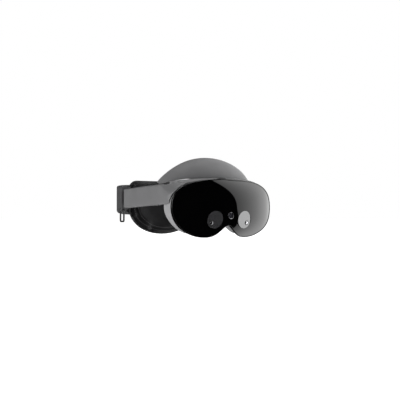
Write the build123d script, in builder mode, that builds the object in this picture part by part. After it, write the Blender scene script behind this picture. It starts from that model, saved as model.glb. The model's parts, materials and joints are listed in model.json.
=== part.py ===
from build123d import *

import math
import os

os.makedirs("parts", exist_ok=True)

# Lengths in millimetres. The wearer looks towards -Y, and the wearer's left is +X.
# "Depth" is the distance behind the foremost point of the visor.

# Overall sizes
overall_length = 285.0
rear_half_width = 98.0

# Clearances
running_gap = 0.1
fitted_gap = 0.15
panel_gap = 0.3
bore_gap = 0.05

# Visor: a curved front wall cut to the outline
visor_radius_x = 104.0
visor_bulge = 62.0
crown_middle = 48.0
crown_reach_up = 45.0
crown_reach_down = 50.0
crown_top = 12.5
crown_bottom = 18.3
crown_power = 2.5
nose_dent = 5.5
nose_dent_width = 16.0
nose_dent_height = 26.0
nose_dent_fade = 4.0
visor_wall = 2.4
gasket_thickness = 1.3
gasket_width = 3.2
visor_outline = [
    (0, 90.6), (38, 88.6), (69.5, 80.3), (84, 66.8), (88.4, 44.5), (84.8, 28),
    (77.1, 16.5), (60.5, 5.4), (38, 0.2), (25, 1.6), (13, 9), (0, 18.4),
]
face_outline = [
    (0, 88), (38, 87), (66, 82), (80, 70), (87.3, 50), (85.4, 37.6),
    (79.4, 26.9), (69.7, 16.3), (55.7, 8.1), (40, 5.5), (25, 13), (0, 33),
]

# Front housing
housing_front_depth = 5.0
housing_back_depth = 58.0
housing_wall = 2.2
housing_top_z = 79.8
eye_cover_thickness = 2.0
eye_cover_depth = 55.2
boss_radius = 2.6
boss_length = 9.0
boss_places = [(66.5, 30), (68, 66)]

# Halo frame: brow and two arms
halo_outer = [
    (0, 11.5), (22, 12.6), (42, 15.6), (60, 19.9), (74, 24.3), (84, 29.6), (88.6, 34.6),
    (90.4, 42), (91.8, 56), (93.4, 76), (95, 110), (96.4, 150), (97, 198),
]
halo_inner = [
    (0, 16.5), (22, 17.6), (40, 20.7), (54, 25), (62, 29.5), (67, 36), (70, 44),
    (76, 53), (84, 58),
]
hood_steps = [(0, 0.7), (26, 0.8), (57, 11.5), (80, 28), (200, 60)]
arm_end_depth = 198.0
arm_inner_x = 84.0
arm_round = 2.2
long_edge = 60.0
arch_top = [(0, 93.2), (22, 93), (42, 92.2), (60, 90.4), (74, 88.2), (84.6, 86.2), (100, 84)]
arm_upper_edge = [(38, 85), (56, 84), (76, 83.3), (110, 82), (150, 80.7), (202, 79.3)]
arm_lower_edge = [(202, 47.5), (150, 48.7), (110, 50), (76, 50.8), (56, 51), (42, 51.2)]
shoulder_lower_edge = [(42, 51.2), (34.6, 53), (29.6, 60), (24.3, 71), (18, 80)]

# Arm pockets, covers and the strap tongues that slide in them
cover_thickness = 2.2
speaker_pocket = (62.0, 104.0)
speaker_pocket_z = (54.0, 76.5)
speaker_pocket_floor_x = 91.0
tongue_z = (52.6, 76.4)
tongue_x = (88.6, 91.8)
tongue_depths = (115.0, 217.0)
groove_z = (60.5, 68.5)
groove_depth = 1.1
band_thickness = 0.8
speaker_size = (4.2, 30.0, 15.0)
speaker_centre = (88.6, 83.0, 67.0)
screw_radius = 0.8
grille_slots = 5
grille_step = 2.4
grille_slot = 1.2
grille_depths = (76.0, 90.0)
screw_head_radius = 1.7

# Tracking windows and cameras
window_centre = (26.0, 28.0)
window_radii = (12.5, 14.0)
window_thickness = 1.2
window_turn = 11.0
window_drop = 12.0
window_tilt = 20.0
window_sink = 0.6
window_cut = 9.0
camera_offset = (5.5, -5.0)
camera_barrel_radius = 4.4
camera_body = 9.5
centre_camera_z = 34.4
centre_camera_radius = 5.3
centre_camera_bore = 4.1
centre_camera_depths = (0.8, 11.0)
centre_lens_depth = 2.2

# Electronics and the inner frame
board_depth = 17.5
board_thickness = 1.5
board_size = (112.0, 40.0)
board_centre_z = 52.0
sink_base = 1.5
sink_fin_height = 4.6
sink_fin_count = 15
sink_size = (78.0, 22.0)
sink_centre_z = 46.0
sink_notch = (3.4, 8.0)
spacing_pin_radius = 1.2
frame_depth = 30.5
frame_thickness = 2.0
post_size = 6.0
post_x = 59.5
post_z = (36.0, 68.0)
fan_centre_z = 71.5
fan_radius = 13.0
fan_depths = (23.0, 30.3)
fan_bore = 11.8
fan_hub_radius = 4.0
fan_blades = 9

# Lens slides
pupil_half_distance = 32.0
lens_centre_z = 48.0
lens_travel = 4.5
barrel_radius = 22.0
barrel_wall = 2.0
barrel_depths = (29.0, 60.0)
barrel_front_thickness = 1.6
barrel_gap = 0.4
display_side = 27.0
display_thickness = 1.6
lens_depths = (51.0, 59.0)
lens_bulge = 2.2
rail_radius = 1.5
rail_depth = 45.0
rail_z = (74.5, 23.4)
rail_block_half = 2.8
rail_end_x = 62.4
rail_inner_x = 18.8
rail_block = (5.6, 8.0)
relief_end_x = 8.0
lug_width = 12.0
lug_length = 8.0

# Gears: module and tooth count
pressure_angle = 20.0
backlash = 0.16
spacing_module = 0.625
spacing_teeth = 16
spacing_depths = (26.2, 28.6)
dial_module = 0.7
dial_teeth = 10
drive_module = 0.75
drive_teeth = 16
rack_addendum = 0.8
rack_back = 3.0

# Forehead rest
rim_half_width = 84.0
dome_base_centre = 96.0
dome_base_reach = 52.0
dome_rim_depth = 83.0
dome_rim_height = 44.3
dome_foot_z = 84.0
dome_wall = 2.2
forehead_radius = 78.0
forehead_centre_depth = 158.0
forehead_pad = 12.0
forehead_plate_thickness = 2.5
forehead_pad_z = 94.0
forehead_pad_half = (55.0, 27.0)
forehead_lean = 23.0
carriage_half_width = 10.0
carriage_z = (86.3, 89.2)
carriage_depths = (20.2, 66.5)
riser_front = 61.0
riser_top = 98.0
dial_rack_ends = (-5.0, 13.0)
dome_posts = [(34, 100)]
dome_post_radius = 3.0
dome_post_front = 53.4
last_turn = 80.0
foot_rise = 9.8
foot_drop = 9.3
foot_power = 3.2
guide_rib = 1.8
dial_depth = 34.5
dial_radius = 8.8
dial_z = (91.2, 94.0)
dial_shaft_radius = 2.2
dial_grooves = 24

# Top cover
cover_drop = 0.3
cover_wall = 2.4
hood_wall = 1.0
cover_corner_step = 2.0
cover_bottom_z = 80.2

# Rear unit
rear_front_depth = 205.0
rear_axis_depth = 210.0
rear_back_depth = 277.0
rear_power = 2.5
rear_wall = 2.2
rear_round = 3.0
rear_upper_edge = [(205, 84.2), (220, 84.9), (240, 86.6), (260, 89), (277, 90)]
rear_lower_edge = [(277, 36), (258, 37), (240, 40), (227, 43.5), (216, 46.2), (205, 46.8)]
rear_head_side = [(80, 205), (80, 216), (78.2, 227)]
end_block_depth = 217.5
pad_half_width = 74.0
pad_height = 98.0
pad_corner = 22.0
pad_bottom_radius = 55.0
pad_front_depth = 238.0
pad_front_curve = 8.0
pad_back_depth = 249.9
pad_back_curve = 16.0
pad_back_power = 2.6
pad_plate_thickness = 3.2
pad_straight_z = (55.0, 76.0)
pad_screws_at = [(40, 45), (40, 80)]
pad_screw_radius = 1.0
pad_screw_head_radius = 2.0
rear_cover_thickness = 2.0
pin_radius = 1.25
pin_depth = 211.0
pin_z = 56.0
pin_x = (84.0, 95.0)

# Fit wheel and its drive
wheel_z = 60.0
wheel_radius = 23.0
wheel_depths = (277.5, 285.0)
wheel_grooves = 40
wheel_shaft_radius = 3.0
bush_radius = 5.0
pinion_depths = (259.2, 263.2)
rack_ends = (-55.0, 10.0)
rack_bar = 3.4
shelf_thickness = 2.0
rack_lip = 1.0
battery_depths = (220.5, 249.0)
battery_z = (49.0, 82.0)
battery_inset = (2.6, 8.0)
board_x = (-45.0, 45.0)
board_depths = (258.0, 259.4)
board_z = (39.9, 47.3)
chip_x = (-14.0, -2.0)
chip_depths = (259.0, 261.0)
chip_z = (41.0, 46.0)
top_battery = (60.0, (257.4, 264.2), (73.2, 86.0))
band_bend = [(89.15, 217), (87.6, 224), (83.6, 235), (77.3, 246), (70, 254.5), (62.3, 260.4)]
band_z = (60.6, 68.4)
band_front = 118.0

# Keys, port and cable loop
key_depth = 84.0
key_x = 88.6
power_key = (3.0, 12.0)
volume_key = (3.0, 20.0)
key_proud = 0.7
key_pivot_radius = 0.6
key_pivot_z = 54.9
port_centre = (30.0, 42.6)
port_size = (9.0, 3.2)
port_length = 14.0
port_wall = 0.35
status_depth = 70.0
status_radius = 1.0
loop_centre = (-92.0, 216.0)
loop_hinge_z = 44.2
loop_half_width = 7.5
loop_bottom_z = 24.4
loop_wire_radius = 1.0
lug_half_length = 5.0
loop_corner = 2.5


def row_y(depth):
    return depth - overall_length / 2


def facing(depth):
    """Upright plane seen from in front: x across, y up, normal towards the front."""
    return Plane(origin=(0, row_y(depth), 0), x_dir=(1, 0, 0), z_dir=(0, -1, 0))


def both_sides(half):
    """A closed ring of points from a half outline that starts and ends on x = 0."""
    return half + [(-x, z) for x, z in reversed(half[1:-1])]


def from_above(points):
    return [(x, row_y(depth)) for x, depth in points]


def shifted(points, distance):
    """Points moved sideways from the path through them, to the left of its travel."""
    moved = []
    for i, (x, y) in enumerate(points):
        before = points[max(i - 1, 0)]
        after = points[min(i + 1, len(points) - 1)]
        run = math.dist(before, after)
        step_x = (after[0] - before[0]) / run
        step_y = (after[1] - before[1]) / run
        moved.append((x - step_y * distance, y + step_x * distance))
    return moved


def grown(ring, amount):
    """A closed clockwise ring of points moved outwards by an amount."""
    count = len(ring)
    moved = []
    for i, (x, y) in enumerate(ring):
        before = ring[i - 1]
        after = ring[(i + 1) % count]
        run = math.dist(before, after)
        moved.append((x - (after[1] - before[1]) / run * amount, y + (after[0] - before[0]) / run * amount))
    return moved


def block(x_range, depth_range, z_range):
    """A plain box between two values on each axis."""
    size = [x_range[1] - x_range[0], depth_range[1] - depth_range[0], z_range[1] - z_range[0]]
    middle = (sum(x_range) / 2, row_y(sum(depth_range) / 2), sum(z_range) / 2)
    return Pos(*middle) * Box(*size, mode=Mode.PRIVATE)


def rod(x, z, radius, depth_range):
    """A cylinder along Y between two depths."""
    length = depth_range[1] - depth_range[0]
    place = Pos(x, row_y(sum(depth_range) / 2), z) * Rot(90, 0, 0)
    return place * Cylinder(radius, length, mode=Mode.PRIVATE)


def cross_rod(depth, z, radius, x_range):
    """A cylinder along X between two x values."""
    length = x_range[1] - x_range[0]
    place = Pos(sum(x_range) / 2, row_y(depth), z) * Rot(0, 90, 0)
    return place * Cylinder(radius, length, mode=Mode.PRIVATE)


def to_other_side(shape):
    return shape.mirror(Plane.YZ)


# --- Visor surface ---------------------------------------------------------


def visor_depth(x, z):
    """Depth of the visor's outer face at a place seen from in front."""
    across = visor_bulge * (1 - math.sqrt(1 - (x / visor_radius_x) ** 2))
    rise = z - crown_middle
    if rise > 0:
        across += crown_top * (rise / crown_reach_up) ** crown_power
    else:
        across += crown_bottom * (-rise / crown_reach_down) ** crown_power
    dent = nose_dent * math.exp(-((x / nose_dent_width) ** 2))
    return across + dent / (1 + math.exp((z - nose_dent_height) / nose_dent_fade))


def visor_skin(offset):
    """The visor's outer face, moved back by an offset, larger than the outline."""
    columns = [-93 + 186 * i / 36 for i in range(37)]
    rows = [-6 + 103 * i / 20 for i in range(21)]
    grid = [[Vector(x, row_y(visor_depth(x, z) + offset), z) for z in rows] for x in columns]
    return Face.make_surface_from_array_of_points(grid)


def outline_prism(growth):
    """The visor's outline, grown outwards, as a bar along Y."""
    with BuildPart() as prism:
        with BuildSketch(facing(0).offset(20)):
            with BuildLine():
                Spline(grown(both_sides(visor_outline), growth), periodic=True)
            make_face()
        extrude(amount=-110)
    return prism.part


def window_plane(side):
    """Plane of one tracking window, its normal pointing out to the side and down."""
    x, z = window_centre
    turn = math.radians(window_turn)
    drop = math.radians(window_drop)
    normal = (side * math.sin(turn) * math.cos(drop), -math.cos(turn) * math.cos(drop), -math.sin(drop))
    across = (math.cos(turn), side * math.sin(turn), 0)
    return Plane(origin=(side * x, row_y(visor_depth(x, z) + window_sink), z), x_dir=across, z_dir=normal)


def window_disc(side, growth, thickness):
    """An oval disc behind the window's front face."""
    with BuildPart() as disc:
        with BuildSketch(window_plane(side)):
            Ellipse(window_radii[0] + growth, window_radii[1] + growth, rotation=side * window_tilt)
        extrude(amount=-thickness)
    return disc.part


skin = visor_skin(0)
visor_slab = extrude(skin, amount=visor_wall, dir=(0, 1, 0))
gasket_slab = extrude(visor_skin(visor_wall + running_gap), amount=gasket_thickness, dir=(0, 1, 0))
behind_gasket = visor_wall + gasket_thickness + 2 * running_gap
front_space = extrude(visor_skin(behind_gasket), amount=90, dir=(0, -1, 0))

with BuildPart() as front_visor:
    add(outline_prism(0))
    add(visor_slab, mode=Mode.INTERSECT)
    for side in (-1, 1):
        add(window_disc(side, fitted_gap, window_cut), mode=Mode.SUBTRACT)
        add(window_disc(side, fitted_gap, -window_cut), mode=Mode.SUBTRACT)
    with BuildSketch(facing(-2)):
        with Locations((0, centre_camera_z)):
            Circle(centre_camera_radius + fitted_gap)
    extrude(amount=-10, mode=Mode.SUBTRACT)

with BuildPart() as visor_gasket:
    add(outline_prism(-panel_gap))
    add(outline_prism(-panel_gap - gasket_width), mode=Mode.SUBTRACT)
    add(gasket_slab, mode=Mode.INTERSECT)

front_visor.part.label = "front_visor"
export_step(front_visor.part, "parts/front_visor.step")
visor_gasket.part.label = "visor_gasket"
export_step(visor_gasket.part, "parts/visor_gasket.step")


# --- Tracking cameras ------------------------------------------------------


def tracking_camera(side):
    """Camera module behind one window: a round barrel on a square body."""
    plane = window_plane(side)
    barrel_front = -window_thickness - running_gap
    with BuildPart() as camera:
        with BuildSketch(plane.offset(barrel_front)):
            with Locations((side * camera_offset[0], camera_offset[1])):
                Circle(camera_barrel_radius)
        extrude(amount=-3)
        with BuildSketch(plane.offset(barrel_front - 3)):
            with Locations((side * camera_offset[0], camera_offset[1])):
                RectangleRounded(camera_body, camera_body, 1)
        extrude(amount=-4)
        with BuildSketch(plane.offset(barrel_front)):
            with Locations((side * camera_offset[0], camera_offset[1])):
                Circle(camera_barrel_radius - 1.6)
        extrude(amount=-1, mode=Mode.SUBTRACT)
    return camera.part


for side, name in ((-1, "right"), (1, "left")):
    window = window_disc(side, 0, window_thickness)
    window.label = f"tracking_window_{name}"
    export_step(window, f"parts/tracking_window_{name}.step")
    camera_part = tracking_camera(side)
    camera_part.label = f"tracking_camera_{name}"
    export_step(camera_part, f"parts/tracking_camera_{name}.step")

with BuildPart() as centre_camera:
    with BuildSketch(facing(centre_camera_depths[0])):
        with Locations((0, centre_camera_z)):
            Circle(centre_camera_radius)
    extrude(amount=centre_camera_depths[0] - centre_camera_depths[1])
    with BuildSketch(facing(centre_camera_depths[0])):
        with Locations((0, centre_camera_z)):
            Circle(centre_camera_bore)
    extrude(amount=-4, mode=Mode.SUBTRACT)
    chamfer(centre_camera.edges().filter_by(GeomType.CIRCLE).sort_by(Axis.Y)[0:2], length=0.4)

with BuildPart() as centre_camera_lens:
    with BuildSketch(facing(centre_lens_depth)):
        with Locations((0, centre_camera_z)):
            Circle(centre_camera_bore - running_gap)
    extrude(amount=-2)
    fillet(centre_camera_lens.edges().filter_by(GeomType.CIRCLE).sort_by(Axis.Y)[0], radius=0.8)

centre_camera.part.label = "centre_camera"
export_step(centre_camera.part, "parts/centre_camera.step")
centre_camera_lens.part.label = "centre_camera_lens"
export_step(centre_camera_lens.part, "parts/centre_camera_lens.step")


# --- Front housing ---------------------------------------------------------


def housing_section(depth, growth):
    """The housing's outline at a depth, between the visor's and the face's outlines."""
    share = (depth - housing_front_depth) / (housing_back_depth - housing_front_depth)
    front_ring = grown(both_sides(visor_outline), growth)
    back_ring = grown(both_sides(face_outline), growth)
    ring = [
        (a[0] + (b[0] - a[0]) * share, a[1] + (b[1] - a[1]) * share)
        for a, b in zip(front_ring, back_ring)
    ]
    with BuildSketch(facing(depth)) as section:
        with BuildLine():
            Spline(ring, periodic=True)
        make_face()
    return section.sketch


def housing_body(growth, depth_range):
    with BuildPart() as body:
        loft([housing_section(depth, growth).faces()[0] for depth in depth_range])
    return body.part


def lens_slot(growth, depth, length):
    """Two long round holes that leave room for the lens barrels to slide."""
    with BuildPart() as slots:
        with BuildSketch(facing(depth)):
            with Locations((-pupil_half_distance, lens_centre_z), (pupil_half_distance, lens_centre_z)):
                SlotCenterToCenter(2 * lens_travel, 2 * (barrel_radius + growth))
        extrude(amount=-length)
    return slots.part


all_bosses = [(side * x, z) for side in (-1, 1) for x, z in boss_places]
eye_cover_back = eye_cover_depth + eye_cover_thickness
boss_depths = (eye_cover_depth - boss_length - panel_gap, eye_cover_depth - panel_gap)

outer_body = housing_body(0, (housing_front_depth, housing_back_depth))
inner_body = housing_body(-housing_wall - panel_gap, (housing_front_depth - 1, housing_back_depth + 1))
with BuildPart() as front_housing:
    add(outer_body)
    add(housing_body(-housing_wall, (housing_front_depth - 1, housing_back_depth + 1)), mode=Mode.SUBTRACT)
    for x, z in all_bosses:
        out = math.copysign(20, x)
        add(block(sorted((x - out / 10, x + out)), boss_depths, (z - boss_radius, z + boss_radius)))
    add(outer_body, mode=Mode.INTERSECT)
    add(front_space, mode=Mode.SUBTRACT)
    add(block((-100, 100), (0, 70), (housing_top_z, 120)), mode=Mode.SUBTRACT)
    for x, z in all_bosses:
        add(rod(x, z, screw_radius, boss_depths), mode=Mode.SUBTRACT)

with BuildPart() as eye_cover:
    add(inner_body)
    add(block((-100, 100), (eye_cover_depth, eye_cover_back), (-10, 100)), mode=Mode.INTERSECT)
    add(block((-100, 100), (0, 70), (housing_top_z - panel_gap, 120)), mode=Mode.SUBTRACT)
    add(lens_slot(0.5, eye_cover_depth - 1, 5), mode=Mode.SUBTRACT)
    for x, z in all_bosses:
        add(rod(x, z, screw_radius + bore_gap, (50, 60)), mode=Mode.SUBTRACT)
        add(rod(x, z, screw_head_radius + bore_gap, (eye_cover_back - 1, 60)), mode=Mode.SUBTRACT)

frame_back = frame_depth + frame_thickness
block_depths = (frame_depth + 1, rail_depth + rail_block[1] / 2)
upper_block_x = (post_x - 2, post_x - 2 + rail_block[0])
inner_block_x = (rail_inner_x - 0.9, rail_inner_x + 2.5)
with BuildPart() as mid_frame:
    add(inner_body)
    add(block((-100, 100), (frame_depth, frame_back), (-10, 100)), mode=Mode.INTERSECT)
    add(block((-100, 100), (0, 70), (housing_top_z - panel_gap, 120)), mode=Mode.SUBTRACT)
    add(lens_slot(barrel_gap, frame_depth - 1, 5), mode=Mode.SUBTRACT)
    post_front = board_depth + board_thickness + running_gap
    for side in (-1, 1):
        for z in post_z:
            x = side * (post_x - 8)
            if z < lens_centre_z:
                x = side * (post_x - 3)
            add(rod(x, z, post_size / 2, (post_front, frame_depth + 1)))
    for side in (-1, 1):
        outer_x = sorted((side * upper_block_x[0], side * upper_block_x[1]))
        inner_x = sorted((side * inner_block_x[0], side * inner_block_x[1]))
        for z in rail_z:
            add(block(outer_x, block_depths, (z - rail_block_half, z + rail_block_half)))
        add(block(inner_x, block_depths, (rail_z[1] - rail_block_half, rail_z[1] + rail_block_half)))
    add(lens_slot(barrel_gap, barrel_depths[0] - barrel_gap, 6), mode=Mode.SUBTRACT)
    for z in rail_z:
        add(cross_rod(rail_depth, z, rail_radius + running_gap / 5, (-64, 64)), mode=Mode.SUBTRACT)

eye_screws = []
for x, z in all_bosses:
    shank = rod(x, z, screw_radius, (eye_cover_depth - boss_length + 1, eye_cover_back - 1))
    eye_screws.append(shank + rod(x, z, screw_head_radius, (eye_cover_back - 1, eye_cover_back - 0.1)))
with BuildPart() as housing_screws:
    add(eye_screws)

for piece, name in (
    (front_housing, "front_housing"),
    (eye_cover, "eye_cover"),
    (mid_frame, "mid_frame"),
    (housing_screws, "housing_screws"),
):
    piece.part.label = name
    export_step(piece.part, f"parts/{name}.step")


# --- Electronics -----------------------------------------------------------

with BuildPart() as main_board:
    with BuildSketch(facing(board_depth)):
        with Locations((0, board_centre_z)):
            RectangleRounded(*board_size, 4)
    extrude(amount=-board_thickness)
    with BuildSketch(facing(board_depth)):
        with Locations((-34, board_centre_z + 10), (-8, board_centre_z + 12), (22, board_centre_z + 8)):
            Rectangle(14, 11)
    extrude(amount=1)

sink_front = board_depth + board_thickness
fin_step = sink_size[0] / sink_fin_count
with BuildPart() as heat_sink:
    with BuildSketch(facing(sink_front + running_gap)):
        with Locations((0, sink_centre_z)):
            Rectangle(*sink_size)
    extrude(amount=-sink_base)
    with BuildSketch(facing(sink_front + running_gap + sink_base)):
        for i in range(sink_fin_count):
            with Locations(((i - (sink_fin_count - 1) / 2) * fin_step, sink_centre_z)):
                Rectangle(1, sink_size[1])
    extrude(amount=-sink_fin_height + 0.1)
    notch_depths = (spacing_depths[0] - panel_gap, spacing_depths[1])
    notch_z = (lens_centre_z - sink_notch[1], lens_centre_z + sink_notch[1])
    add(block((-sink_notch[0], sink_notch[0]), notch_depths, notch_z), mode=Mode.SUBTRACT)
    add(rod(0, lens_centre_z, spacing_pin_radius, (sink_front + 1, spacing_depths[1] + 0.6)))

with BuildPart() as fan_housing:
    add(rod(0, fan_centre_z, fan_radius, fan_depths))
    add(rod(0, fan_centre_z, fan_bore, (fan_depths[0] - 1, fan_depths[1] - 1)), mode=Mode.SUBTRACT)
    add(rod(0, fan_centre_z, 1.0, (fan_depths[0] + 1, fan_depths[1] - 0.5)))

with BuildPart() as fan_rotor:
    hub_depths = (fan_depths[0] + 0.4, fan_depths[1] - 1.3)
    add(rod(0, fan_centre_z, fan_hub_radius, hub_depths))
    with BuildSketch(facing(hub_depths[0])):
        with Locations((0, fan_centre_z)):
            with PolarLocations(fan_hub_radius + 3.2, fan_blades):
                Rectangle(7.4, 0.9, rotation=28)
    extrude(amount=hub_depths[0] - hub_depths[1])
    add(rod(0, fan_centre_z, 1.0 + bore_gap, (fan_depths[0], fan_depths[1])), mode=Mode.SUBTRACT)

for piece, name in (
    (main_board, "main_board"),
    (heat_sink, "heat_sink"),
    (fan_housing, "fan_housing"),
    (fan_rotor, "fan_rotor"),
):
    piece.part.label = name
    export_step(piece.part, f"parts/{name}.step")


# --- Gears -----------------------------------------------------------------


def involute(base, radius):
    """The polar angle gained by an involute between its base circle and a radius."""
    pressure = math.acos(min(base / radius, 1))
    return math.tan(pressure) - pressure


def gear_points(module, teeth):
    """Outline of a spur gear with a tooth on the +x axis."""
    pitch = module * teeth / 2
    base = pitch * math.cos(math.radians(pressure_angle))
    tip = pitch + rack_addendum * module
    root = pitch - (rack_addendum + 0.25) * module
    half_tooth = math.pi / (2 * teeth) - backlash / (4 * pitch) + involute(base, pitch)
    radii = [max(root, base) + (tip - max(root, base)) * i / 5 for i in range(6)]
    points = []
    for tooth in range(teeth):
        middle = 2 * math.pi * tooth / teeth
        flank = [(root, half_tooth + 0.02)] if root < base else []
        flank += [(radius, half_tooth - involute(base, radius)) for radius in radii]
        points += [(radius, middle - angle) for radius, angle in flank]
        points += [(radius, middle + angle) for radius, angle in reversed(flank)]
    return [(radius * math.cos(angle), radius * math.sin(angle)) for radius, angle in points]


def gear_sketch(plane, module, teeth):
    with BuildSketch(plane) as sketch:
        with BuildLine():
            Polyline(gear_points(module, teeth), close=True)
        make_face()
    return sketch.sketch


def rack_sketch(plane, module, ends, bar):
    """A rack along x with its pitch line on x, a space at x = 0 and teeth towards -y."""
    slope = math.tan(math.radians(pressure_angle))
    pitch = math.pi * module
    reach = rack_addendum * module
    root = (rack_addendum + 0.25) * module
    half = pitch / 4 - backlash / 4
    with BuildSketch(plane) as sketch:
        with Locations(((ends[0] + ends[1]) / 2, root + bar / 2)):
            Rectangle(ends[1] - ends[0], bar)
        first = math.ceil((ends[0] + pitch / 2) / pitch - 0.5)
        last = math.floor((ends[1] - pitch / 2) / pitch - 0.5)
        for i in range(first, last + 1):
            middle = (i + 0.5) * pitch
            with BuildLine():
                Polyline(
                    (middle - half - root * slope, root),
                    (middle - half + reach * slope, -reach),
                    (middle + half - reach * slope, -reach),
                    (middle + half + root * slope, root),
                    close=True,
                )
            make_face()
    return sketch.sketch


# --- Lens units ------------------------------------------------------------

spacing_pitch = spacing_module * spacing_teeth / 2
inner_radius = barrel_radius - barrel_wall
barrel_top = lens_centre_z + barrel_radius
barrel_bottom = lens_centre_z - barrel_radius
lug_depths = (rail_depth - lug_length / 2, rail_depth + lug_length / 2)
rack_thickness = barrel_depths[0] - spacing_depths[0]
spacing_rack_ends = (-8.5, 24.0)


def rack_plane(side, depth, centre_z, pitch_radius):
    """Plane of a rack on one side of a pinion, turned half round on the other side."""
    origin = (0, row_y(depth), centre_z + side * pitch_radius)
    return Plane(origin=origin, x_dir=(side, 0, 0), z_dir=(0, -1, 0))


def lens_barrel(side):
    """Sliding tube with two lugs on the rails and a rack arm across the middle."""
    x = side * pupil_half_distance
    lug_x = (x - lug_width / 2, x + lug_width / 2)
    with BuildPart() as barrel:
        add(rod(x, lens_centre_z, barrel_radius, barrel_depths))
        add(block(lug_x, lug_depths, (barrel_top - 3, rail_z[0] + 3)))
        add(block(lug_x, lug_depths, (rail_z[1] - 3, barrel_bottom + 3)))
        bore_depths = (barrel_depths[0] + barrel_front_thickness, barrel_depths[1] + 1)
        add(rod(x, lens_centre_z, inner_radius, bore_depths), mode=Mode.SUBTRACT)
        for z in rail_z:
            add(cross_rod(rail_depth, z, rail_radius + bore_gap, (x - 10, x + 10)), mode=Mode.SUBTRACT)
        plane = rack_plane(side, spacing_depths[0], lens_centre_z, spacing_pitch)
        rack = rack_sketch(plane, spacing_module, spacing_rack_ends, rack_back)
        add(extrude(rack, amount=-rack_thickness, mode=Mode.PRIVATE))
        relief_x = sorted((-side * 20, side * relief_end_x))
        relief_depths = (barrel_depths[0] - barrel_gap, barrel_depths[0] + 1)
        add(block(relief_x, relief_depths, (rail_z[1], rail_z[0])), mode=Mode.SUBTRACT)
    return barrel.part


def eye_lens(side):
    """Lens with a flat front and a domed eye side."""
    x = side * pupil_half_distance
    radius = inner_radius - fitted_gap
    half_height = lens_bulge
    sphere = (radius**2 + half_height**2) / (2 * half_height)
    plane = Plane(origin=(x, row_y(0), lens_centre_z), x_dir=(0, 0, 1), z_dir=(1, 0, 0))
    edge_depth = lens_depths[1] - lens_bulge
    with BuildPart() as lens:
        with BuildSketch(plane):
            with BuildLine():
                Polyline(
                    (0, -lens_depths[1]),
                    (0, -lens_depths[0]),
                    (radius, -lens_depths[0]),
                    (radius, -edge_depth),
                )
                RadiusArc((radius, -edge_depth), (0, -lens_depths[1]), sphere)
            make_face()
        revolve(axis=Axis((x, 0, lens_centre_z), (0, 1, 0)))
    return lens.part


def display(side):
    x = side * pupil_half_distance
    front = barrel_depths[0] + barrel_front_thickness + running_gap
    with BuildPart() as panel:
        with BuildSketch(facing(front)):
            with Locations((x, lens_centre_z)):
                RectangleRounded(display_side, display_side, 1.5)
        extrude(amount=-display_thickness)
    return panel.part


for side, name in ((-1, "right"), (1, "left")):
    for piece, label in (
        (lens_barrel(side), f"lens_barrel_{name}"),
        (eye_lens(side), f"eye_lens_{name}"),
        (display(side), f"display_{name}"),
    ):
        piece.label = label
        export_step(piece, f"parts/{label}.step")

upper_rail = cross_rod(rail_depth, rail_z[0], rail_radius, (-rail_end_x, rail_end_x))
upper_rail.label = "lens_rail_upper"
export_step(upper_rail, "parts/lens_rail_upper.step")
with BuildPart() as lens_rails_lower:
    add(cross_rod(rail_depth, rail_z[1], rail_radius, (-rail_end_x, -rail_inner_x)))
    add(cross_rod(rail_depth, rail_z[1], rail_radius, (rail_inner_x, rail_end_x)))
lens_rails_lower.part.label = "lens_rails_lower"
export_step(lens_rails_lower.part, "parts/lens_rails_lower.step")

gear_face = Plane(origin=(0, row_y(spacing_depths[1]), lens_centre_z), x_dir=(1, 0, 0), z_dir=(0, -1, 0))
with BuildPart() as spacing_pinion:
    gear = gear_sketch(gear_face, spacing_module, spacing_teeth)
    add(extrude(gear, amount=spacing_depths[1] - spacing_depths[0], mode=Mode.PRIVATE))
    add(rod(0, lens_centre_z, spacing_pin_radius + bore_gap, (20, 30)), mode=Mode.SUBTRACT)
spacing_pinion.part.label = "spacing_pinion"
export_step(spacing_pinion.part, "parts/spacing_pinion.step")


# --- Halo frame and arms ---------------------------------------------------


def plan_band(outer, inner):
    """Region between two paths seen from above, on both sides of x = 0."""
    outer_ring = [(-x, y) for x, y in reversed(outer[1:])] + outer
    inner_ring = [(-x, y) for x, y in reversed(inner[1:])] + inner
    with BuildSketch(Plane.XY) as band:
        with BuildLine():
            Spline(from_above(outer_ring))
            Spline(from_above(inner_ring))
            for sign in (-1, 1):
                end = (sign * outer[-1][0], row_y(outer[-1][1]))
                corner = (sign * inner[-1][0], row_y(outer[-1][1]))
                start = (sign * inner[-1][0], row_y(inner[-1][1]))
                Polyline(end, corner, start) if math.dist(corner, start) > 0.01 else Line(end, start)
        make_face()
    return band.sketch


def side_profile(upper, lower, front_corners):
    """A bar along X whose side view lies between two edges."""
    with BuildPart() as bar:
        with BuildSketch(Plane(origin=(-120, 0, 0), x_dir=(0, 1, 0), z_dir=(1, 0, 0))):
            with BuildLine():
                Spline([(row_y(depth), z) for depth, z in upper])
                Spline([(row_y(depth), z) for depth, z in lower])
                Line((row_y(upper[-1][0]), upper[-1][1]), (row_y(lower[0][0]), lower[0][1]))
                ends = [(row_y(lower[-1][0]), lower[-1][1])]
                ends += [(row_y(depth), z) for depth, z in front_corners]
                ends += [(row_y(upper[0][0]), upper[0][1])]
                Polyline(ends)
            make_face()
        extrude(amount=240)
    return bar.part


def arch(drop, bottom, depth_range):
    """A bar along Y under the brow's arched top edge."""
    ring = [(-x, z - drop) for x, z in reversed(arch_top[1:])] + [(x, z - drop) for x, z in arch_top]
    with BuildPart() as bar:
        with BuildSketch(facing(depth_range[0])):
            with BuildLine():
                Spline(ring)
                Polyline(ring[-1], (ring[-1][0], bottom), (ring[0][0], bottom), ring[0])
            make_face()
        extrude(amount=depth_range[0] - depth_range[1])
    return bar.part


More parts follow.
